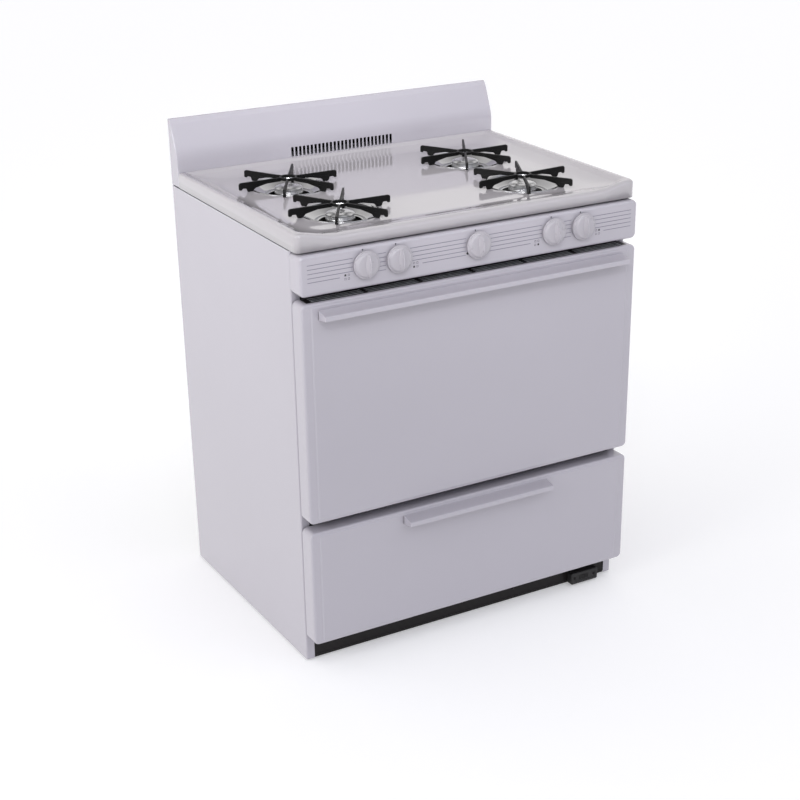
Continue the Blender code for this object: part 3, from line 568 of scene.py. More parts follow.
def add_screws(name, places, facing, body, radius, material=None):
    """Screws at some places that all face along +Y or -Y, which is 1 or -1."""
    bm = bmesh.new()
    for at in places:
        screw_head(bm, at, (0, facing, 0), radius)
    attach(mesh_object(name, bm, material or SCREW_STEEL), body)


# ---- cabinet ----
def side_panels():
    """Pressed sides with rounded folds; their flanges turn in at the front and the back."""
    wall = 0.0015
    for side, name in zip((-1, 1), SIDES):
        node = "side_panel_" + name
        outer_x = half_width(node) + abs(middle(node).x)
        front, rear = low(node).y, high(node).y
        path = [(outer_x - 0.018, front), (outer_x, front), (outer_x, rear), (outer_x - 0.014, rear),
                (outer_x - 0.014, rear - wall), (outer_x - wall, rear - wall),
                (outer_x - wall, front + wall), (outer_x - 0.018, front + wall)]
        outline = fillet([(side * x, y) for x, y in path], (0, 0.0032, 0.0032, 0, 0, 0.0017, 0.0017, 0), 5)
        bm = bmesh.new()
        bar(bm, outline, low(node).z, high(node).z, 0.0003, along_z, 2)
        add_piece(node + "_shell", bm, "white_enamel", "root", (node,))


def rear_cover():
    """The back sheet with a pressed field, slots and its row of screws."""
    node = "rear_cover"
    a, b = ends(node)
    depth = 0.0022
    outer = [(0.0, a.y, 0.003), (0.0, b.y, 0.003), (0.03, b.y, 0.012), (0.033, b.y - 0.25 * depth, 0.012),
             (0.037, b.y - 0.75 * depth, 0.012), (0.04, b.y - depth, 0.012)]
    inner = [(0.04, a.y - depth, 0.012), (0.033, a.y - 0.25 * depth, 0.012), (0.03, a.y, 0.012)]
    bm = bmesh.new()
    loft(bm, [upright_ring(a, b, *row, 6) for row in inner + outer])
    cover = mesh_object("rear_cover_sheet", bm, LOOKS["zinc_steel"])
    cutter = bmesh.new()
    for row in range(2):
        for column in range(6):
            x = -0.225 + 0.09 * column
            z = 0.145 + 0.03 * row
            outline = rounded_rectangle(x - 0.032, x + 0.032, z - 0.005, z + 0.005, 0.0049, 6)
            bar(cutter, outline, b.y - 0.02, b.y + 0.02, 0.0, along_y)
    bar(cutter, arc((FEED_X, SHAFT_Z), 0.016, 0, 337.5, 15), b.y - 0.02, b.y + 0.02, 0.0, along_y)
    combine(cover, cutter)
    attach(cover, "root", (node,))
    face = b.y - 0.0006
    places = [(x, face, a.z + 0.02 + step * 0.152) for x in (-0.365, 0.365) for step in range(6)]
    for step in range(5):
        x = -0.3 + 0.15 * step
        places += [(x, face, b.z - 0.012), (x, face, a.z + 0.012)]
    add_screws("rear_cover_screws", places, 1, "root", 0.0038)


def toe_plate():
    """The black strip below the drawer, with rolled long edges and two screws."""
    node = "toe_plate"
    a, b = ends(node)
    bm = bmesh.new()
    bar(bm, rounded_rectangle(a.y, b.y, a.z, b.z, 0.0009, 3), a.x, b.x, 0.0006)
    for z in (a.z + 0.0055, b.z - 0.0055):
        bar(bm, arc((a.y + 0.0004, z), 0.0013, 90, 270, 6), a.x + 0.004, b.x - 0.004)
    add_piece("toe_plate_strip", bm, "black_enamel", "root", (node,))
    places = [(x, a.y, middle(node).z) for x in (-0.3, 0.12)]
    add_screws("toe_plate_screws", places, -1, "root", 0.0036, LOOKS["black_enamel"])


def battery_box():
    """The igniter's battery holder: a lid with grip ribs and two terminal screws."""
    node = "battery_box"
    a, b = ends(node)
    bm = bmesh.new()
    loft(bm, pan_rings(a, b, b.y, a.y + 0.0006, 0.0035, 0.002, 0.0015, 0.0055, 0.001, 0.001))
    for step in range(7):
        x = a.x + 0.022 + 0.0035 * step
        box(bm, (x, a.y + 0.0002, a.z + 0.0085), (x + 0.0014, a.y + 0.003, b.z - 0.0085), 0.0004)
    add_piece("battery_box_case", bm, "black_plastic", "root", (node,))
    places = [(x, a.y + 0.0015, middle(node).z) for x in (a.x + 0.0095, b.x - 0.0095)]
    add_screws("battery_box_terminals", places, -1, "root", 0.0036, LOOKS["black_enamel"])


def feet():
    """Leveling feet: a round pad, a hexagon and a threaded post."""
    for side in SIDES:
        for end in ("front", "rear"):
            node = f"foot_{end}_{side}"
            at = middle(node)
            pad = half_width(node)
            top = high(node).z
            thread_pitch, thread_end = 0.001, 0.0105
            profile = [(0.0, top), (0.004, top), (0.005, top - 0.001)]
            z = top - 0.0016
            while z > thread_end:
                profile += [(0.005, z), (0.0043, z - 0.5 * thread_pitch)]
                z -= thread_pitch
            profile += [(0.005, 0.0094), (0.0075, 0.0045), (pad - 0.0012, 0.004), (pad, 0.003),
                        (pad, 0.0006), (pad - 0.0006, 0.0), (0.0, 0.0)]
            bm = bmesh.new()
            lathe(bm, profile, 40, turn=over(node))
            bar(bm, hexagon(0.0085, (at.x, at.y)), 0.0038, 0.0088, 0.0006, along_z, 2)
            add_piece(node + "_screw", bm, "zinc_steel", node, (node,))


# ---- cooktop ----
def cooktop():
    """The lift-up top: rolled rims around a recessed basin with four burner openings."""
    node = "cooktop"
    a, b = ends(node)
    basin = low("grate_front_left").z - 0.0003
    roll = 0.0065
    crest = 0.012
    foot = 0.066
    corner_steps = 10

    def dip(u, v):
        """The share of the rim's height over the basin that is lost along the front and the rear."""
        from_side = min(1.0, max(0.0, (min(u - a.x, b.x - u) - 0.012) / 0.07))
        front = max(0.0, 1 - (v - a.y) / 0.06) * from_side ** 2 * (3 - 2 * from_side)
        return 0.85 * front + 0.26 * max(0.0, 1 - (b.y - v) / 0.045) ** 2

    def evened(outline):
        """The outline with its long front side divided, so that the front can dip."""
        start, end = outline[corner_steps:corner_steps + 2]
        between = [start.lerp(end, part / 24) for part in range(1, 24)]
        return outline[:corner_steps + 1] + between + outline[corner_steps + 1:]

    def ring(inset, back, z, radius, fall):
        points = ((a.x + inset, a.y + inset), (b.x - inset, a.y + inset),
                  (b.x - inset, b.y - back), (a.x + inset, b.y - back))
        rear = max(0.001, radius - 0.011)
        outline = evened(fillet(points, (radius, radius, rear, rear), corner_steps))
        return [(u, v, z - fall * dip(u, v)) for u, v in outline]

    depth = b.z - basin
    rings = [ring(0.0, 0.0, a.z, 0.012, 0.0), ring(0.0, 0.0, b.z - roll, 0.012, depth)]
    for u, v in arc((roll, b.z - roll), roll, 180, 90, 7)[1:]:
        rings.append(ring(u, 0.0004, v, 0.012 + 0.1 * u, depth))
    steps = 24
    for k in range(steps + 1):
        share = k / steps
        drop = depth * (0.72 * (1 - (1 - share ** 1.2) ** 2.2) + 0.28 * min(1.0, share / 0.2) ** 1.6)
        rings.append(ring(crest + (foot - crest) * share, 0.0005 + 0.05 * share, b.z - drop,
                          0.014 + 0.04 * share, depth - drop))
    rings.append(ring(foot + 0.0015, 0.052, basin, 0.0535, 0.0))
    bm = bmesh.new()
    rows = loft(bm, rings, False, False)
    border = rows[-1]
    fill = [bm.edges.get((p, q)) for p, q in zip(border, border[1:] + border[:1])]
    count = 72
    for corner in CORNERS:
        at = middle("drip_bowl_" + corner)
        radius = half_width("drip_bowl_" + corner) - 0.0024
        circles = []
        for reach, z in offsets((radius, basin), (1.5, 0), (0, 0), (-0.6, -0.3), (-0.9, -1.2), (-0.9, -5)):
            circles.append([bm.verts.new((at.x + reach * cos(tau * k / count),
                                          at.y + reach * sin(tau * k / count), z)) for k in range(count)])
        for first, second in zip(circles, circles[1:]):
            for k in range(count):
                after = (k + 1) % count
                bm.faces.new((first[k], first[after], second[after], second[k]))
        fill += [bm.edges.get((circles[0][k], circles[0][(k + 1) % count])) for k in range(count)]
    bmesh.ops.triangle_fill(bm, use_beauty=True, use_dissolve=False, edges=fill)
    bmesh.ops.recalc_face_normals(bm, faces=bm.faces)
    flat = max(bm.faces, key=lambda face: face.calc_area() * (abs(face.normal.z) > 0.99))
    if flat.normal.z < 0:
        bmesh.ops.reverse_faces(bm, faces=bm.faces)
    sheet = mesh_object("cooktop_sheet", bm, LOOKS["porcelain_top"], 40, turned=True)
    shell = sheet.modifiers.new("sheet", "SOLIDIFY")
    shell.thickness = 0.0014
    shell.offset = -1.0
    attach(sheet, "top", (node,), False)


def drip_bowls():
    """Chrome bowls: a rolled rim, a steep wall, a broad slope and a flat around the opening."""
    node = "drip_bowl_front_left"
    rim = low("grate_front_left").z
    outer = half_width(node)
    hole = 0.0415
    rolled = offsets((outer, rim), (0, 0), (0, 0.6), (-0.5, 1.2), (-1.4, 1.4), (-2.4, 1.0), (-3.2, -0.4),
                     (-4.2, -3.0), (-5.6, -5.2), (-7.6, -6.6), (-11, -8.2), (-17, -11.2), (-23.5, -14.6),
                     (-26.2, -15.7), (-29, -16.1), (-33, -16.2))
    opening = offsets((hole, rim), (1, -16.5), (0, -17.2), (0, -18), (2, -17.8))
    below = offsets((outer, rim), (-26.8, -17), (-17, -12.4), (-9.2, -8.5), (-6.4, -6.2), (-4.6, -0.2))
    for corner in CORNERS:
        node = "drip_bowl_" + corner
        bm = bmesh.new()
        lathe(bm, rolled + opening + below, 96, closed=True, turn=over(node))
        add_piece(node + "_shell", bm, "chrome", "top", (node,), 40)


GRATE_TURNS = {"front_left": -1.3, "rear_left": -0.6, "rear_right": 1.0, "front_right": 4.3}


def grates():
    """Six arms on edge with rounded ends and feet, meeting at a small ring; each lies a little turned."""
    for corner in CORNERS:
        node = "grate_" + corner
        foot_z, top = low(node).z, high(node).z
        reach = half_width(node)
        hub = 0.016
        tip = offsets((reach, top), (0, 0), (0, -14.8), (-5.6, -14.8), (-7.6, -12), (-16, -12.4))
        foot = offsets((reach, foot_z), (-19, 0), (-29.5, 0))
        arch = offsets((reach, top), (-35, -13.6)) + offsets((hub, top), (32, -8.2), (0, -7.6))
        points = [(hub, top)] + tip + foot + arch
        radii = (0.0005, 0.0048, 0.0022, 0.0016, 0.002, 0.0022, 0.0014, 0.0016, 0.008, 0.03, 0.003)
        outline = fillet(points, radii, 5)
        bm = bmesh.new()
        for step in range(6):
            angle = step * pi / 3 + radians(GRATE_TURNS[corner])
            turn = over(node) @ Matrix.Rotation(angle, 4, "Z")
            bar(bm, outline, -0.0021, 0.0021, 0.0009, lambda u, v, w, m=turn: m @ Vector((u, w, v)))
        ring = offsets((0, top), (18, -1), (17.2, 0), (14.8, 0), (13.8, -1.2), (13.8, -4.8), (14.8, -5.8),
                       (17.2, -5.8), (18, -4.8))
        lathe(bm, ring, 36, closed=True, turn=over(node))
        add_piece(node + "_casting", bm, "cast_iron", node, (node,))


def burner_heads():
    """Cast heads with a ring of ports, and caps with a raised centre."""
    teeth = 30
    for corner in CORNERS:
        node = "burner_head_" + corner
        cap = "burner_cap_" + corner
        at = middle(cap)
        radius = half_width(cap)
        seat = low(cap).z - 0.0003
        top = high(cap).z
        bm = bmesh.new()
        crown = []
        for k in range(teeth):
            for share, out in ((0.0, 0.0), (0.12, 0.0024), (0.55, 0.0024), (0.67, 0.0)):
                angle = tau * (k + share) / teeth
                crown.append(Vector((at.x + (radius - 0.0014 + out) * cos(angle),
                                     at.y + (radius - 0.0014 + out) * sin(angle))))
        bar(bm, crown, seat - 0.0052, seat, 0.0003, along_z, 1)
        base = low(node).z
        bell = offsets((radius, seat), (-3, -3), (0.8, -5), (1.2, -6.2), (0.4, -8.5), (-4, -11.2))
        throat = offsets((0, seat), (18, -15), (15, -20), (13.8, -26))
        lathe(bm, bell + throat + [(0.0135, base), (0.0, base)], 60, turn=over(cap))
        add_piece(node + "_crown", bm, "cast_aluminium", "root", (), 30)
        bm = bmesh.new()
        rise = top - seat
        hollow = [(0.0, seat + 0.8 * rise), (0.006, seat + 0.82 * rise), (0.0085, seat + 0.98 * rise)]
        crest = offsets((0, top), (11, 0), (15, -0.2), (21, -0.8))
        shoulder = [(radius - 0.0035, seat + 0.66 * rise), (radius - 0.0012, seat + 0.48 * rise),
                    (radius, seat + 0.3 * rise), (radius, seat + 0.1 * rise)]
        under = [(radius - 0.0008, seat + 0.0003), (0.0, seat + 0.0003)]
        lathe(bm, hollow + crest + shoulder + under, 64, turn=over(cap))
        add_piece(cap + "_disc", bm, "cast_aluminium", "root", (cap,), 40)


def backguard():
    """The folded splash guard with its row of flue slots and closed ends."""
    node = "backguard"
    a, b = ends(node)
    bend = 0.934
    lip = 0.9945
    front_top = b.y - 0.0125
    outer = fillet([(a.y, a.z), (a.y, bend), (front_top, lip), (b.y - 0.005, b.z), (b.y, b.z), (b.y, a.z)],
                   (0, 0.085, 0.006, 0.006, 0.0012, 0), 10)
    wall = 0.0013
    inner = fillet([(a.y + wall, a.z - 0.01), (a.y + wall, bend - 0.0003), (front_top + wall, lip - 0.002),
                    (b.y - wall, b.z - 0.006), (b.y - wall, a.z - 0.01)], (0, 0.085, 0, 0, 0), 10)
    bm = bmesh.new()
    bar(bm, outer, a.x, b.x, 0.0016, steps=4)
    guard = mesh_object("backguard_sheet", bm, LOOKS["white_enamel"])
    cutter = bmesh.new()
    bar(cutter, inner, a.x + wall, b.x - wall)
    # The guard's inner faces are black enamel: painted shade inside the hollow guard, seen through the slots.
    combine(guard, cutter, inside=LOOKS["black_enamel"])
    cutter = bmesh.new()
    slot_low = high("cooktop").z - 0.0034
    for step in range(-13, 14):
        x = 0.00915 * step
        outline = rounded_rectangle(x - 0.0028, x + 0.0028, slot_low, slot_low + 0.02, 0.001, 3)
        bar(cutter, outline, a.y - 0.01, a.y + 0.01, 0.0, along_y)
    # The slot walls are black enamel too: painted shade in the slots.
    combine(guard, cutter, inside=LOOKS["black_enamel"])
    attach(guard, "root", (node,))


# ---- control panel ----
def knob_shapes():
    """A skirted dial and the waisted grip across it; the back is at z = 0 and it faces +Z."""
    node = "knob_oven"
    radius = half_width(node)
    height = high(node).y - low(node).y
    face = 0.0108
    dial = bmesh.new()
    top = offsets((0, face), (0, 0.6), (12, 0.4), (19.5, -0.2), (21.4, -1), (22.8, -2.6), (23.8, -4))
    skirt = offsets((radius, 0), (-0.4, 5), (0, 4.4), (0, 0.6), (-0.6, 0))
    lathe(dial, top + [(0.0241, 0.006), (0.0247, 0.0053)] + skirt + [(0.0, 0.0)], 96)
    grip = bmesh.new()
    half = 0.0212
    rings = []
    for k in range(-12, 13):
        share = k / 12
        foot = 0.0022 + 0.0062 * (1 - share * share)
        crown = 0.0011 + 0.0006 * (1 - share * share)
        top = height - 0.0075 * abs(share) ** 3
        base = 0.0088
        side = []
        for j in range(7):
            rise = j / 6
            side.append((crown + (foot - crown) * (1 - rise) ** 1.7, base + (top - 0.0006 - base) * rise))
        ring = side + [(0.0, top)] + [(-x, z) for x, z in reversed(side)]
        rings.append([(x, half * share, z) for x, z in ring])
    loft(grip, rings)
    return dial, grip


def knobs():
    dial, grip = knob_shapes()
    pattern = mesh_object("knob_pattern", dial, LOOKS["white_plastic"])
    combine(pattern, grip, "UNION")
    for name in KNOBS:
        node = "knob_" + name
        at = middle(node)
        bm = bmesh.new()
        bm.from_mesh(pattern.data)
        home = Matrix.Translation((at.x, high(node).y, at.z)) @ Matrix.Rotation(pi / 2, 4, "X")
        bmesh.ops.transform(bm, matrix=home, verts=bm.verts)
        add_piece(node + "_dial", bm, "white_plastic", node, (node,), 32)
    bpy.data.objects.remove(pattern, do_unlink=True)


def control_panel():
    """The pressed panel with five shaft holes."""
    node = "control_panel"
    a, b = ends(node)
    bm = bmesh.new()
    loft(bm, pan_rings(a, b, b.y, a.y, 0.011, 0.0065, 0.0018))
    panel = mesh_object("control_panel_shell", bm, LOOKS["white_enamel"])
    cutter = bmesh.new()
    for name in KNOBS:
        at = middle("knob_" + name)
        bar(cutter, arc((at.x, at.z), 0.005, 0, 345, 23), a.y - 0.01, a.y + 0.01, 0.0, along_y)
    combine(panel, cutter)
    attach(panel, "root", (node,))


def panel_print():
    """The five pinstripes, the knobs' index marks and the burner signs."""
    face = low("control_panel").y
    pitch, half_line = 0.0082, 0.00062
    stripes = [SHAFT_Z + 0.0151 - pitch * k for k in range(5)]
    end = 0.3645
    knob_gap, sign_gap = 0.0262, 0.0145
    left_field = -0.298
    knob_x = [middle("knob_" + name).x for name in KNOBS]
    signs = ((knob_x[0] - 0.0385, 1), (knob_x[1] + 0.0377, 0),
             (knob_x[3] - 0.0377, 3), (knob_x[4] + 0.0385, 2))
    skin = 0.00012

    def print_outline(bm, outline):
        bar(bm, outline, face - skin, face + skin, 0.0, along_y)

    def print_block(bm, u0, u1, v0, v1):
        print_outline(bm, [Vector(p) for p in ((u0, v0), (u1, v0), (u1, v1), (u0, v1))])

    bm = bmesh.new()
    for row, z in enumerate(stripes):
        gaps = [(x - knob_gap, x + knob_gap) for x in knob_x]
        if row == 4:
            gaps += [(x - sign_gap, x + sign_gap) for x, _ in signs]
            gaps.append((left_field, knob_x[0]))
        gaps.sort()
        start = -end
        for left, right in gaps + [(end, end)]:
            if left > start + 0.001:
                print_block(bm, start, left, z - half_line, z + half_line)
            start = max(start, right)
    attach(mesh_object("panel_pinstripes", bm, GREY_INK), "root")

    bm = bmesh.new()
    for x in knob_x:
        point = Vector((x - 0.005, SHAFT_Z + 0.0255))
        print_outline(bm, [point + Vector((-0.0017, 0.004)), point, point + Vector((0.0017, 0.004))])
    print_outline(bm, arc((knob_x[2] - 0.0225, SHAFT_Z - 0.015), 0.0026, 0, 330, 11))
    dot, line, spacing = 0.0019, 0.0005, 0.0036
    for x, lit in signs:
        for index, (u, v) in enumerate(((-1, -1), (-1, 1), (1, 1), (1, -1))):
            cx, cz = x + u * spacing, SHAFT_Z - 0.0185 + v * spacing
            if index == lit:
                print_block(bm, cx - dot, cx + dot, cz - dot, cz + dot)
                continue
            for x0, x1, z0, z1 in ((-dot, dot, dot - line, dot), (-dot, dot, -dot, -dot + line),
                                   (-dot, -dot + line, -dot, dot), (dot - line, dot, -dot, dot)):
                print_block(bm, cx + x0, cx + x1, cz + z0, cz + z1)
    attach(mesh_object("panel_marks", bm, DARK_INK), "root")


# ---- door and drawer ----
HINGE_ARM_X = 0.33


def hinge_slots(bottom):
    """Cutters for the slots in the door's lower edge, where the hinge arms reach in."""
    cutter = bmesh.new()
    for side in (-1, 1):
        x = side * HINGE_ARM_X
        box(cutter, (x - 0.008, -0.272, bottom - 0.01), (x + 0.008, -0.23, bottom + 0.02), 0.0005)
    return cutter


def front_pan(name, node, body):
    """A pressed front whose field stands a little proud of a border along its sides."""
    a, b = ends(node)
    border = 0.0185
    bm = bmesh.new()
    loft(bm, pan_rings(a, b, b.y, a.y, 0.011, 0.005, 0.0018, border, -0.0014, 0.0035, 0.0054))
    pan = mesh_object(name, bm, LOOKS["white_enamel"], 30)
    if body == "door":
        combine(pan, hinge_slots(a.z), sharp=30)
    attach(pan, body, (node,))


def handle(node, body):
    """A hooked pull with a sloping top, a rolled lip and closed ends."""
    a, b = ends(node)
    top, lip, face = b.z, a.y, b.y
    outer = fillet([(face, top), *offsets((lip, top), (0, -5.2), (0, -14.6)), (face, top - 0.02)],
                   (0.0004, 0.0026, 0.0016, 0.0004), 5)
    inner = fillet(offsets((face, top), (10, -2.6), (0, -2.6)) + offsets((lip, top), (2.2, -7.4), (2.2, -30))
                   + offsets((face, top), (10, -30)), (0, 0, 0.0018, 0, 0), 4)
    bm = bmesh.new()
    bar(bm, outer, a.x, b.x, 0.0014, steps=4)
    pull = mesh_object(node + "_pull", bm, LOOKS["handle_enamel"])
    cutter = bmesh.new()
    bar(cutter, inner, a.x + 0.0025, b.x - 0.0025)
    combine(pull, cutter)
    attach(pull, body, (node,))


def door_inside():
    """The inner panel with its pressed field, the braided seal and their screws."""
    node = "door_liner"
    a, b = ends(node)
    bm = bmesh.new()
    rings = pan_rings(a, b, -a.y, -b.y, 0.006, 0.002, 0.0014, 0.078, 0.006, 0.014)
    loft(bm, [[(x, -y, z) for x, y, z in ring] for ring in rings])
    liner = mesh_object("door_liner_pan", bm, LOOKS["oven_porcelain"])
    combine(liner, hinge_slots(low("door_outer").z))
    attach(liner, "door", (node,))

    seal = "door_gasket"
    c, d = ends(seal)
    half_braid = 0.007
    steps = 14
    rings = []
    for k in range(steps):
        angle = tau * k / steps
        inset = half_braid * (1 - cos(angle)) + 0.001
        y = middle(seal).y + 0.5 * (d.y - c.y) * sin(angle)
        rings.append(upright_ring(c, d, inset, y, 0.02 - 0.9 * inset))
    bm = bmesh.new()
    loft(bm, rings, loop=True)
    add_piece("door_gasket_braid", bm, "gasket_fibre", "door", (seal,), 60)
    places = [(x, b.y, z) for z in (a.z + 0.012, b.z - 0.0065) for x in (-0.28, -0.09, 0.09, 0.28)]
    add_screws("door_liner_screws", places, 1, "door", 0.0034)


def door_vents():
    """The grille along the top of the door, where air leaves it: zinc ribs on a black plate, which is painted
    shade in the vent's openings and in the gap under the control panel.
    """
    top = high("door_outer").z
    bm = bmesh.new()
    box(bm, (-0.364, -0.2705, top - 0.001), (0.364, -0.244, top + 0.0003), 0.0003)
    # The black plate is painted shade: the dark openings between the ribs and the gap under the control
    # panel.
    attach(mesh_object("door_vent_shade_plate", bm, LOOKS["black_enamel"]), "door")
    bm = bmesh.new()
    pitch, length = 0.119, 0.11
    for row in range(3):
        for step in range(-3, 3):
            x = pitch * (step + 0.5)
            y = -0.2665 + 0.0078 * row
            box(bm, (x - length / 2, y, top - 0.0005), (x + length / 2, y + 0.0016, top + 0.0011), 0.0004)
    attach(mesh_object("door_vent_ribs", bm, LOOKS["zinc_steel"]), "door")


def drawer_tub():
    """A drawn tub with rounded corners and a rolled rim, fixed to its front plate."""
    node = "drawer_tub"
    a, b = ends(node)
    rim = 0.2
    bm = bmesh.new()
    outside = offsets((0, a.z, 0), (12, 0, 10), (4.5, 0.8, 13), (0.8, 4.5, 16))
    rolled = offsets((0, rim, 0), (0.6, -3.5, 16), (0, -2, 16.6), (0.6, -0.4, 16), (2.2, 0, 14.5),
                     (3.8, -0.6, 13), (4, -3, 12.6), (2.2, -6, 14.5))
    inside = offsets((0, a.z, 0), (2.2, 6, 14.5), (5.5, 2.2, 12), (13, 1.4, 9))
    loft(bm, level_rings(a + Vector((0, 0.0024, 0)), b, outside + rolled + inside))
    plate = rounded_rectangle(a.x, b.x, a.z, b.z, 0.006, 5)
    bar(bm, plate, a.y, a.y + 0.002, 0.0004, along_y, 2)
    add_piece("drawer_tub_shell", bm, "zinc_steel", "drawer", (node,))
    places = [(x, a.y + 0.002, z) for x in (-0.28, -0.14, 0.14, 0.28) for z in (0.222, 0.272)]
    add_screws("drawer_front_screws", places, 1, "drawer", 0.0036)


def broiler():
    """The broiler pan with its rolled rim, and the slotted grid that lies on it."""
    node = "broiler_pan"
    a, b = ends(node)
    bm = bmesh.new()
    outside = offsets((0, a.z, 0), (18, 0, 16), (12, 1, 19), (8.5, 5, 21))
    rolled = offsets((0, b.z, 0), (4.2, -3, 24), (0.5, -2, 26), (0, -1, 26.5), (0.6, 0, 26), (4, 0, 24),
                     (5.6, -2, 23))
    inside = offsets((0, a.z, 0), (9.8, 6, 19.5), (13, 2, 17.5), (19, 1.3, 15))
    loft(bm, level_rings(a, b, outside + rolled + inside))
    add_piece("broiler_pan_shell", bm, "oven_porcelain", "drawer", (node,))

    node = "broiler_grid"
    a, b = ends(node)
    bm = bmesh.new()
    below = offsets((0, a.z, 0), (20, 0, 14), (1, 0, 27), (0, 0.8, 28))
    above = offsets((0, b.z, 0), (0.4, -0.6, 27.6), (1.4, 0, 27), (20, 0, 14))
    loft(bm, level_rings(a, b, below + above))
    grid = mesh_object("broiler_grid_plate", bm, LOOKS["oven_porcelain"])
    cutter = bmesh.new()
    for row in range(4):
        for step in range(13):
            x = -0.162 + 0.027 * step
            y = a.y + 0.03 + 0.0685 * row
            slot = rounded_rectangle(x - 0.0028, x + 0.0028, y, y + 0.052, 0.0027, 5)
            bar(cutter, slot, a.z - 0.01, b.z + 0.01, 0.0, along_z)
    combine(grid, cutter)
    attach(grid, "drawer", (node,))


# ---- oven ----
def racks():
    """Wire racks: a round frame, rods from front to back and two cross wires below."""
    for level in ("lower", "upper"):
        node = "oven_rack_" + level
        a, b = ends(node)
        frame_r = 0.0025
        z = b.z - frame_r
        body = "rack_" + level
        loop = level_rings(a, b, [(frame_r, z, 0.012)], 6)[0]
        cross = [([(a.x + 0.013, y, z - 0.004), (b.x - 0.013, y, z - 0.004)], False)
                 for y in (middle(node).y - 0.08, middle(node).y + 0.08)]
        wires(node + "_frame", [(loop, True)] + cross, frame_r, "chrome", body, (node,), 4)
        rods = [([(x, a.y + 0.003, z - 0.0006), (x, b.y - 0.003, z - 0.0006)], False)
                for x in (0.0295 * step for step in range(-9, 10))]
        wires(node + "_rods", rods, 0.0017, "chrome", body)


def oven_fittings():
    """The thermostat's bulb on two clips, and the screws of the oven's walls."""
    back = high("oven_liner").y - 0.0015
    z = high("oven_liner").z - 0.03
    y = back - 0.016
    bm = bmesh.new()
    length = 0.1
    profile = [(0.0, length), (0.0022, length - 0.0006), (0.0034, length - 0.003), (0.0034, 0.003),
               (0.0022, 0.0006), (0.0, 0.0)]
    lathe(bm, profile, 24, turn=Matrix.Translation((-0.05, y, z)) @ Matrix.Rotation(pi / 2, 4, "Y"))
    attach(mesh_object("thermostat_bulb", bm, SCREW_STEEL), "root")
    bm = bmesh.new()
    out, rim = 0.0048, 0.0036
    for x in (-0.032, 0.032):
        for y0, y1, z1 in ((y - out, y + out, z - rim), (y + rim, back, z + out),
                           (y - out, y - rim, z + 0.003)):
            box(bm, (x - 0.003, y0, z - out), (x + 0.003, y1, z1), 0.0003)
    attach(mesh_object("thermostat_bulb_clips", bm, SCREW_STEEL), "root")
    places = [(x, back, height) for x in (-0.25, 0.25) for height in (0.42, 0.56, 0.7)]
    add_screws("oven_wall_screws", places, -1, "root", 0.0036)


def gas_parts():
    """Brass taps and jets over the gas rail, and the inlet fitting at the back."""
    tap_y = middle("oven_thermostat").y - 0.012
    pipe_y = high("oven_thermostat").y + 0.0098
    bm = bmesh.new()
    for name in ("1", "2", "3", "4"):
        at = middle("valve_stem_" + name)
        bar(bm, hexagon(0.0108, (at.x, at.z)), tap_y, pipe_y - 0.0095, 0.0008, along_y, 2)
        bar(bm, hexagon(0.0056, (at.x, at.z + 0.006)), pipe_y + 0.005, pipe_y + 0.0125, 0.0006, along_y, 2)
    attach(mesh_object("gas_tap_bodies", bm, BRASS), "root")
    bm = bmesh.new()
    bar(bm, hexagon(0.0135, (FEED_X, SHAFT_Z)), 0.2925, 0.302, 0.001, along_y, 2)
    attach(mesh_object("gas_inlet_nut", bm, BRASS), "root")


# ---- carried-over CAD nodes ----
def finish_cad_nodes():
    """Gives every CAD node the look of its slot."""
    looks = {row["node"]: row["material_slot"] for row in frame["record"]["subparts"]}
    for node, obj in frame["nodes"].items():
        look = LOOKS[looks[node]]
        if node.startswith("valve_stem"):
            look = SCREW_STEEL
        obj.data.materials.clear()
        obj.data.materials.append(look)
        for polygon in obj.data.polygons:
            polygon.material_index = 0


# ---- stage ----
def area_light(name, at, target, size, watts, spread=180.0):
    lamp = bpy.data.lights.new(name, "AREA")
    lamp.spread = radians(spread)
    lamp.shape = "RECTANGLE"
    lamp.size, lamp.size_y = size
    lamp.energy = watts
    obj = link(name, lamp)
    obj.location = at
    obj.rotation_euler = (Vector(target) - Vector(at)).to_track_quat("-Z", "Y").to_euler()


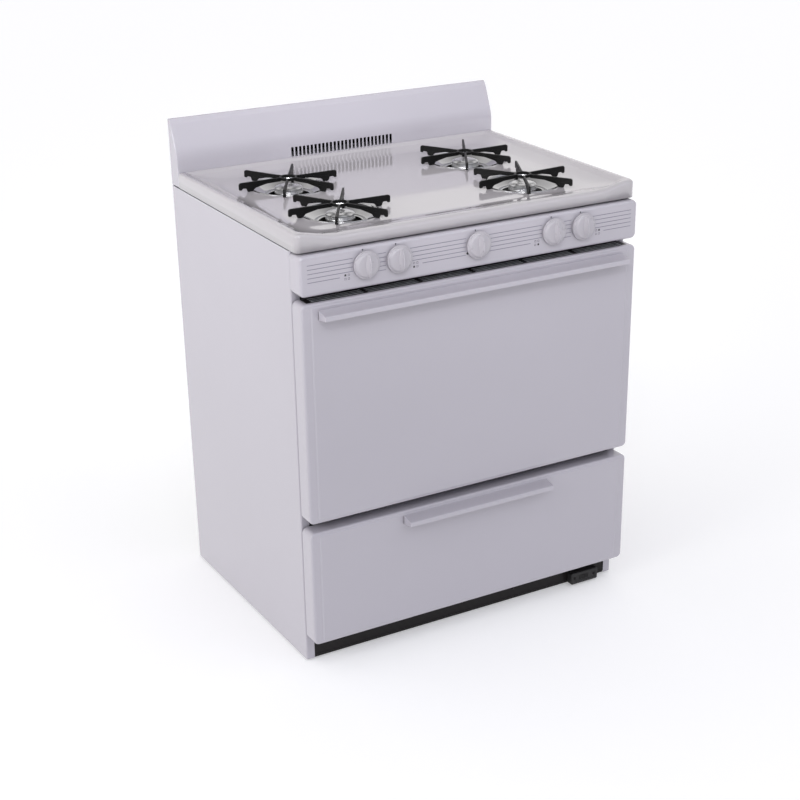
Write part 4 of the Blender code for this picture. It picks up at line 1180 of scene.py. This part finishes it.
def stage():
    """A pale floor, soft studio light and the camera."""
    scene = bpy.context.scene
    bm = bmesh.new()
    bmesh.ops.create_grid(bm, x_segments=1, y_segments=1, size=14.0)
    material, _, shader = plain_material("floor_look", (0.8, 0.8, 0.8), 0.9)
    shader.inputs["Emission Color"].default_value = (1.0, 1.0, 1.0, 1.0)
    shader.inputs["Emission Strength"].default_value = 0.27
    mesh_object("floor", bm, material, turned=True)

    world = bpy.data.worlds.new("studio")
    world.use_nodes = True
    scene.world = world
    tree = world.node_tree
    direction = tree.nodes.new("ShaderNodeTexCoord")
    axes = tree.nodes.new("ShaderNodeSeparateXYZ")
    tree.links.new(direction.outputs["Generated"], axes.inputs["Vector"])
    from_back = remap(tree, axes.outputs["Y"], -0.4, 0.6, 0.0, 0.68)
    from_left = remap(tree, axes.outputs["X"], 0.0, -0.9, 0.0, 0.58)
    from_right = remap(tree, axes.outputs["X"], 0.0, 0.9, 0.0, 0.34)
    from_front = remap(tree, axes.outputs["Y"], 0.1, -0.6, 0.0, 1.0)
    from_above = remap(tree, axes.outputs["Z"], 0.08, 0.66, 0.0, 1.32)
    overhead = remap(tree, axes.outputs["Z"], 0.75, 0.98, 1.0, 0.6)
    level = combined(tree, "ADD", from_back, combined(tree, "ADD", from_left, from_right))
    level = combined(tree, "ADD", level, combined(tree, "MULTIPLY", from_front, from_above))
    level = combined(tree, "MULTIPLY", combined(tree, "ADD", level, None, 0.1), overhead)
    ground = tree.nodes["Background"]
    warm, cool = (1.0, 0.985, 0.985), (0.945, 0.96, 1.05)
    tree.links.new(blend_colours(tree, from_front, warm, cool), ground.inputs["Color"])
    tree.links.new(level, ground.inputs["Strength"])

    centre = (0.0, 0.0, 0.5)
    area_light("key_left", (-3.6, -0.9, 2.0), centre, (1.6, 1.6), 26)
    area_light("fill_top", (-1.1, -1.7, 2.3), (0.05, 0.29, 1.0), (1.0, 0.5), 1.9, 34.0)

    camera = bpy.data.cameras.new("view")
    camera.sensor_width = 36.0
    camera.lens = 75.195
    camera.shift_x = -0.07367
    camera.shift_y = 0.12766
    camera.clip_end = 60.0
    eye = link("view", camera)
    eye.location = (-1.6437, -2.9191, 1.7609)
    eye.rotation_euler = (radians(64.581), 0.0, radians(-31.256))
    scene.camera = eye
    scene.view_settings.view_transform = "Standard"


for build in (stage, finish_cad_nodes, side_panels, rear_cover, toe_plate, battery_box, feet, cooktop,
              drip_bowls, grates, burner_heads, backguard, knobs, control_panel, panel_print):
    build()
front_pan("door_outer_pan", "door_outer", "door")
front_pan("drawer_front_pan", "drawer_front", "drawer")
handle("door_handle", "door")
handle("drawer_handle", "drawer")
for build in (door_inside, door_vents, drawer_tub, broiler, racks, oven_fittings, gas_parts):
    build()
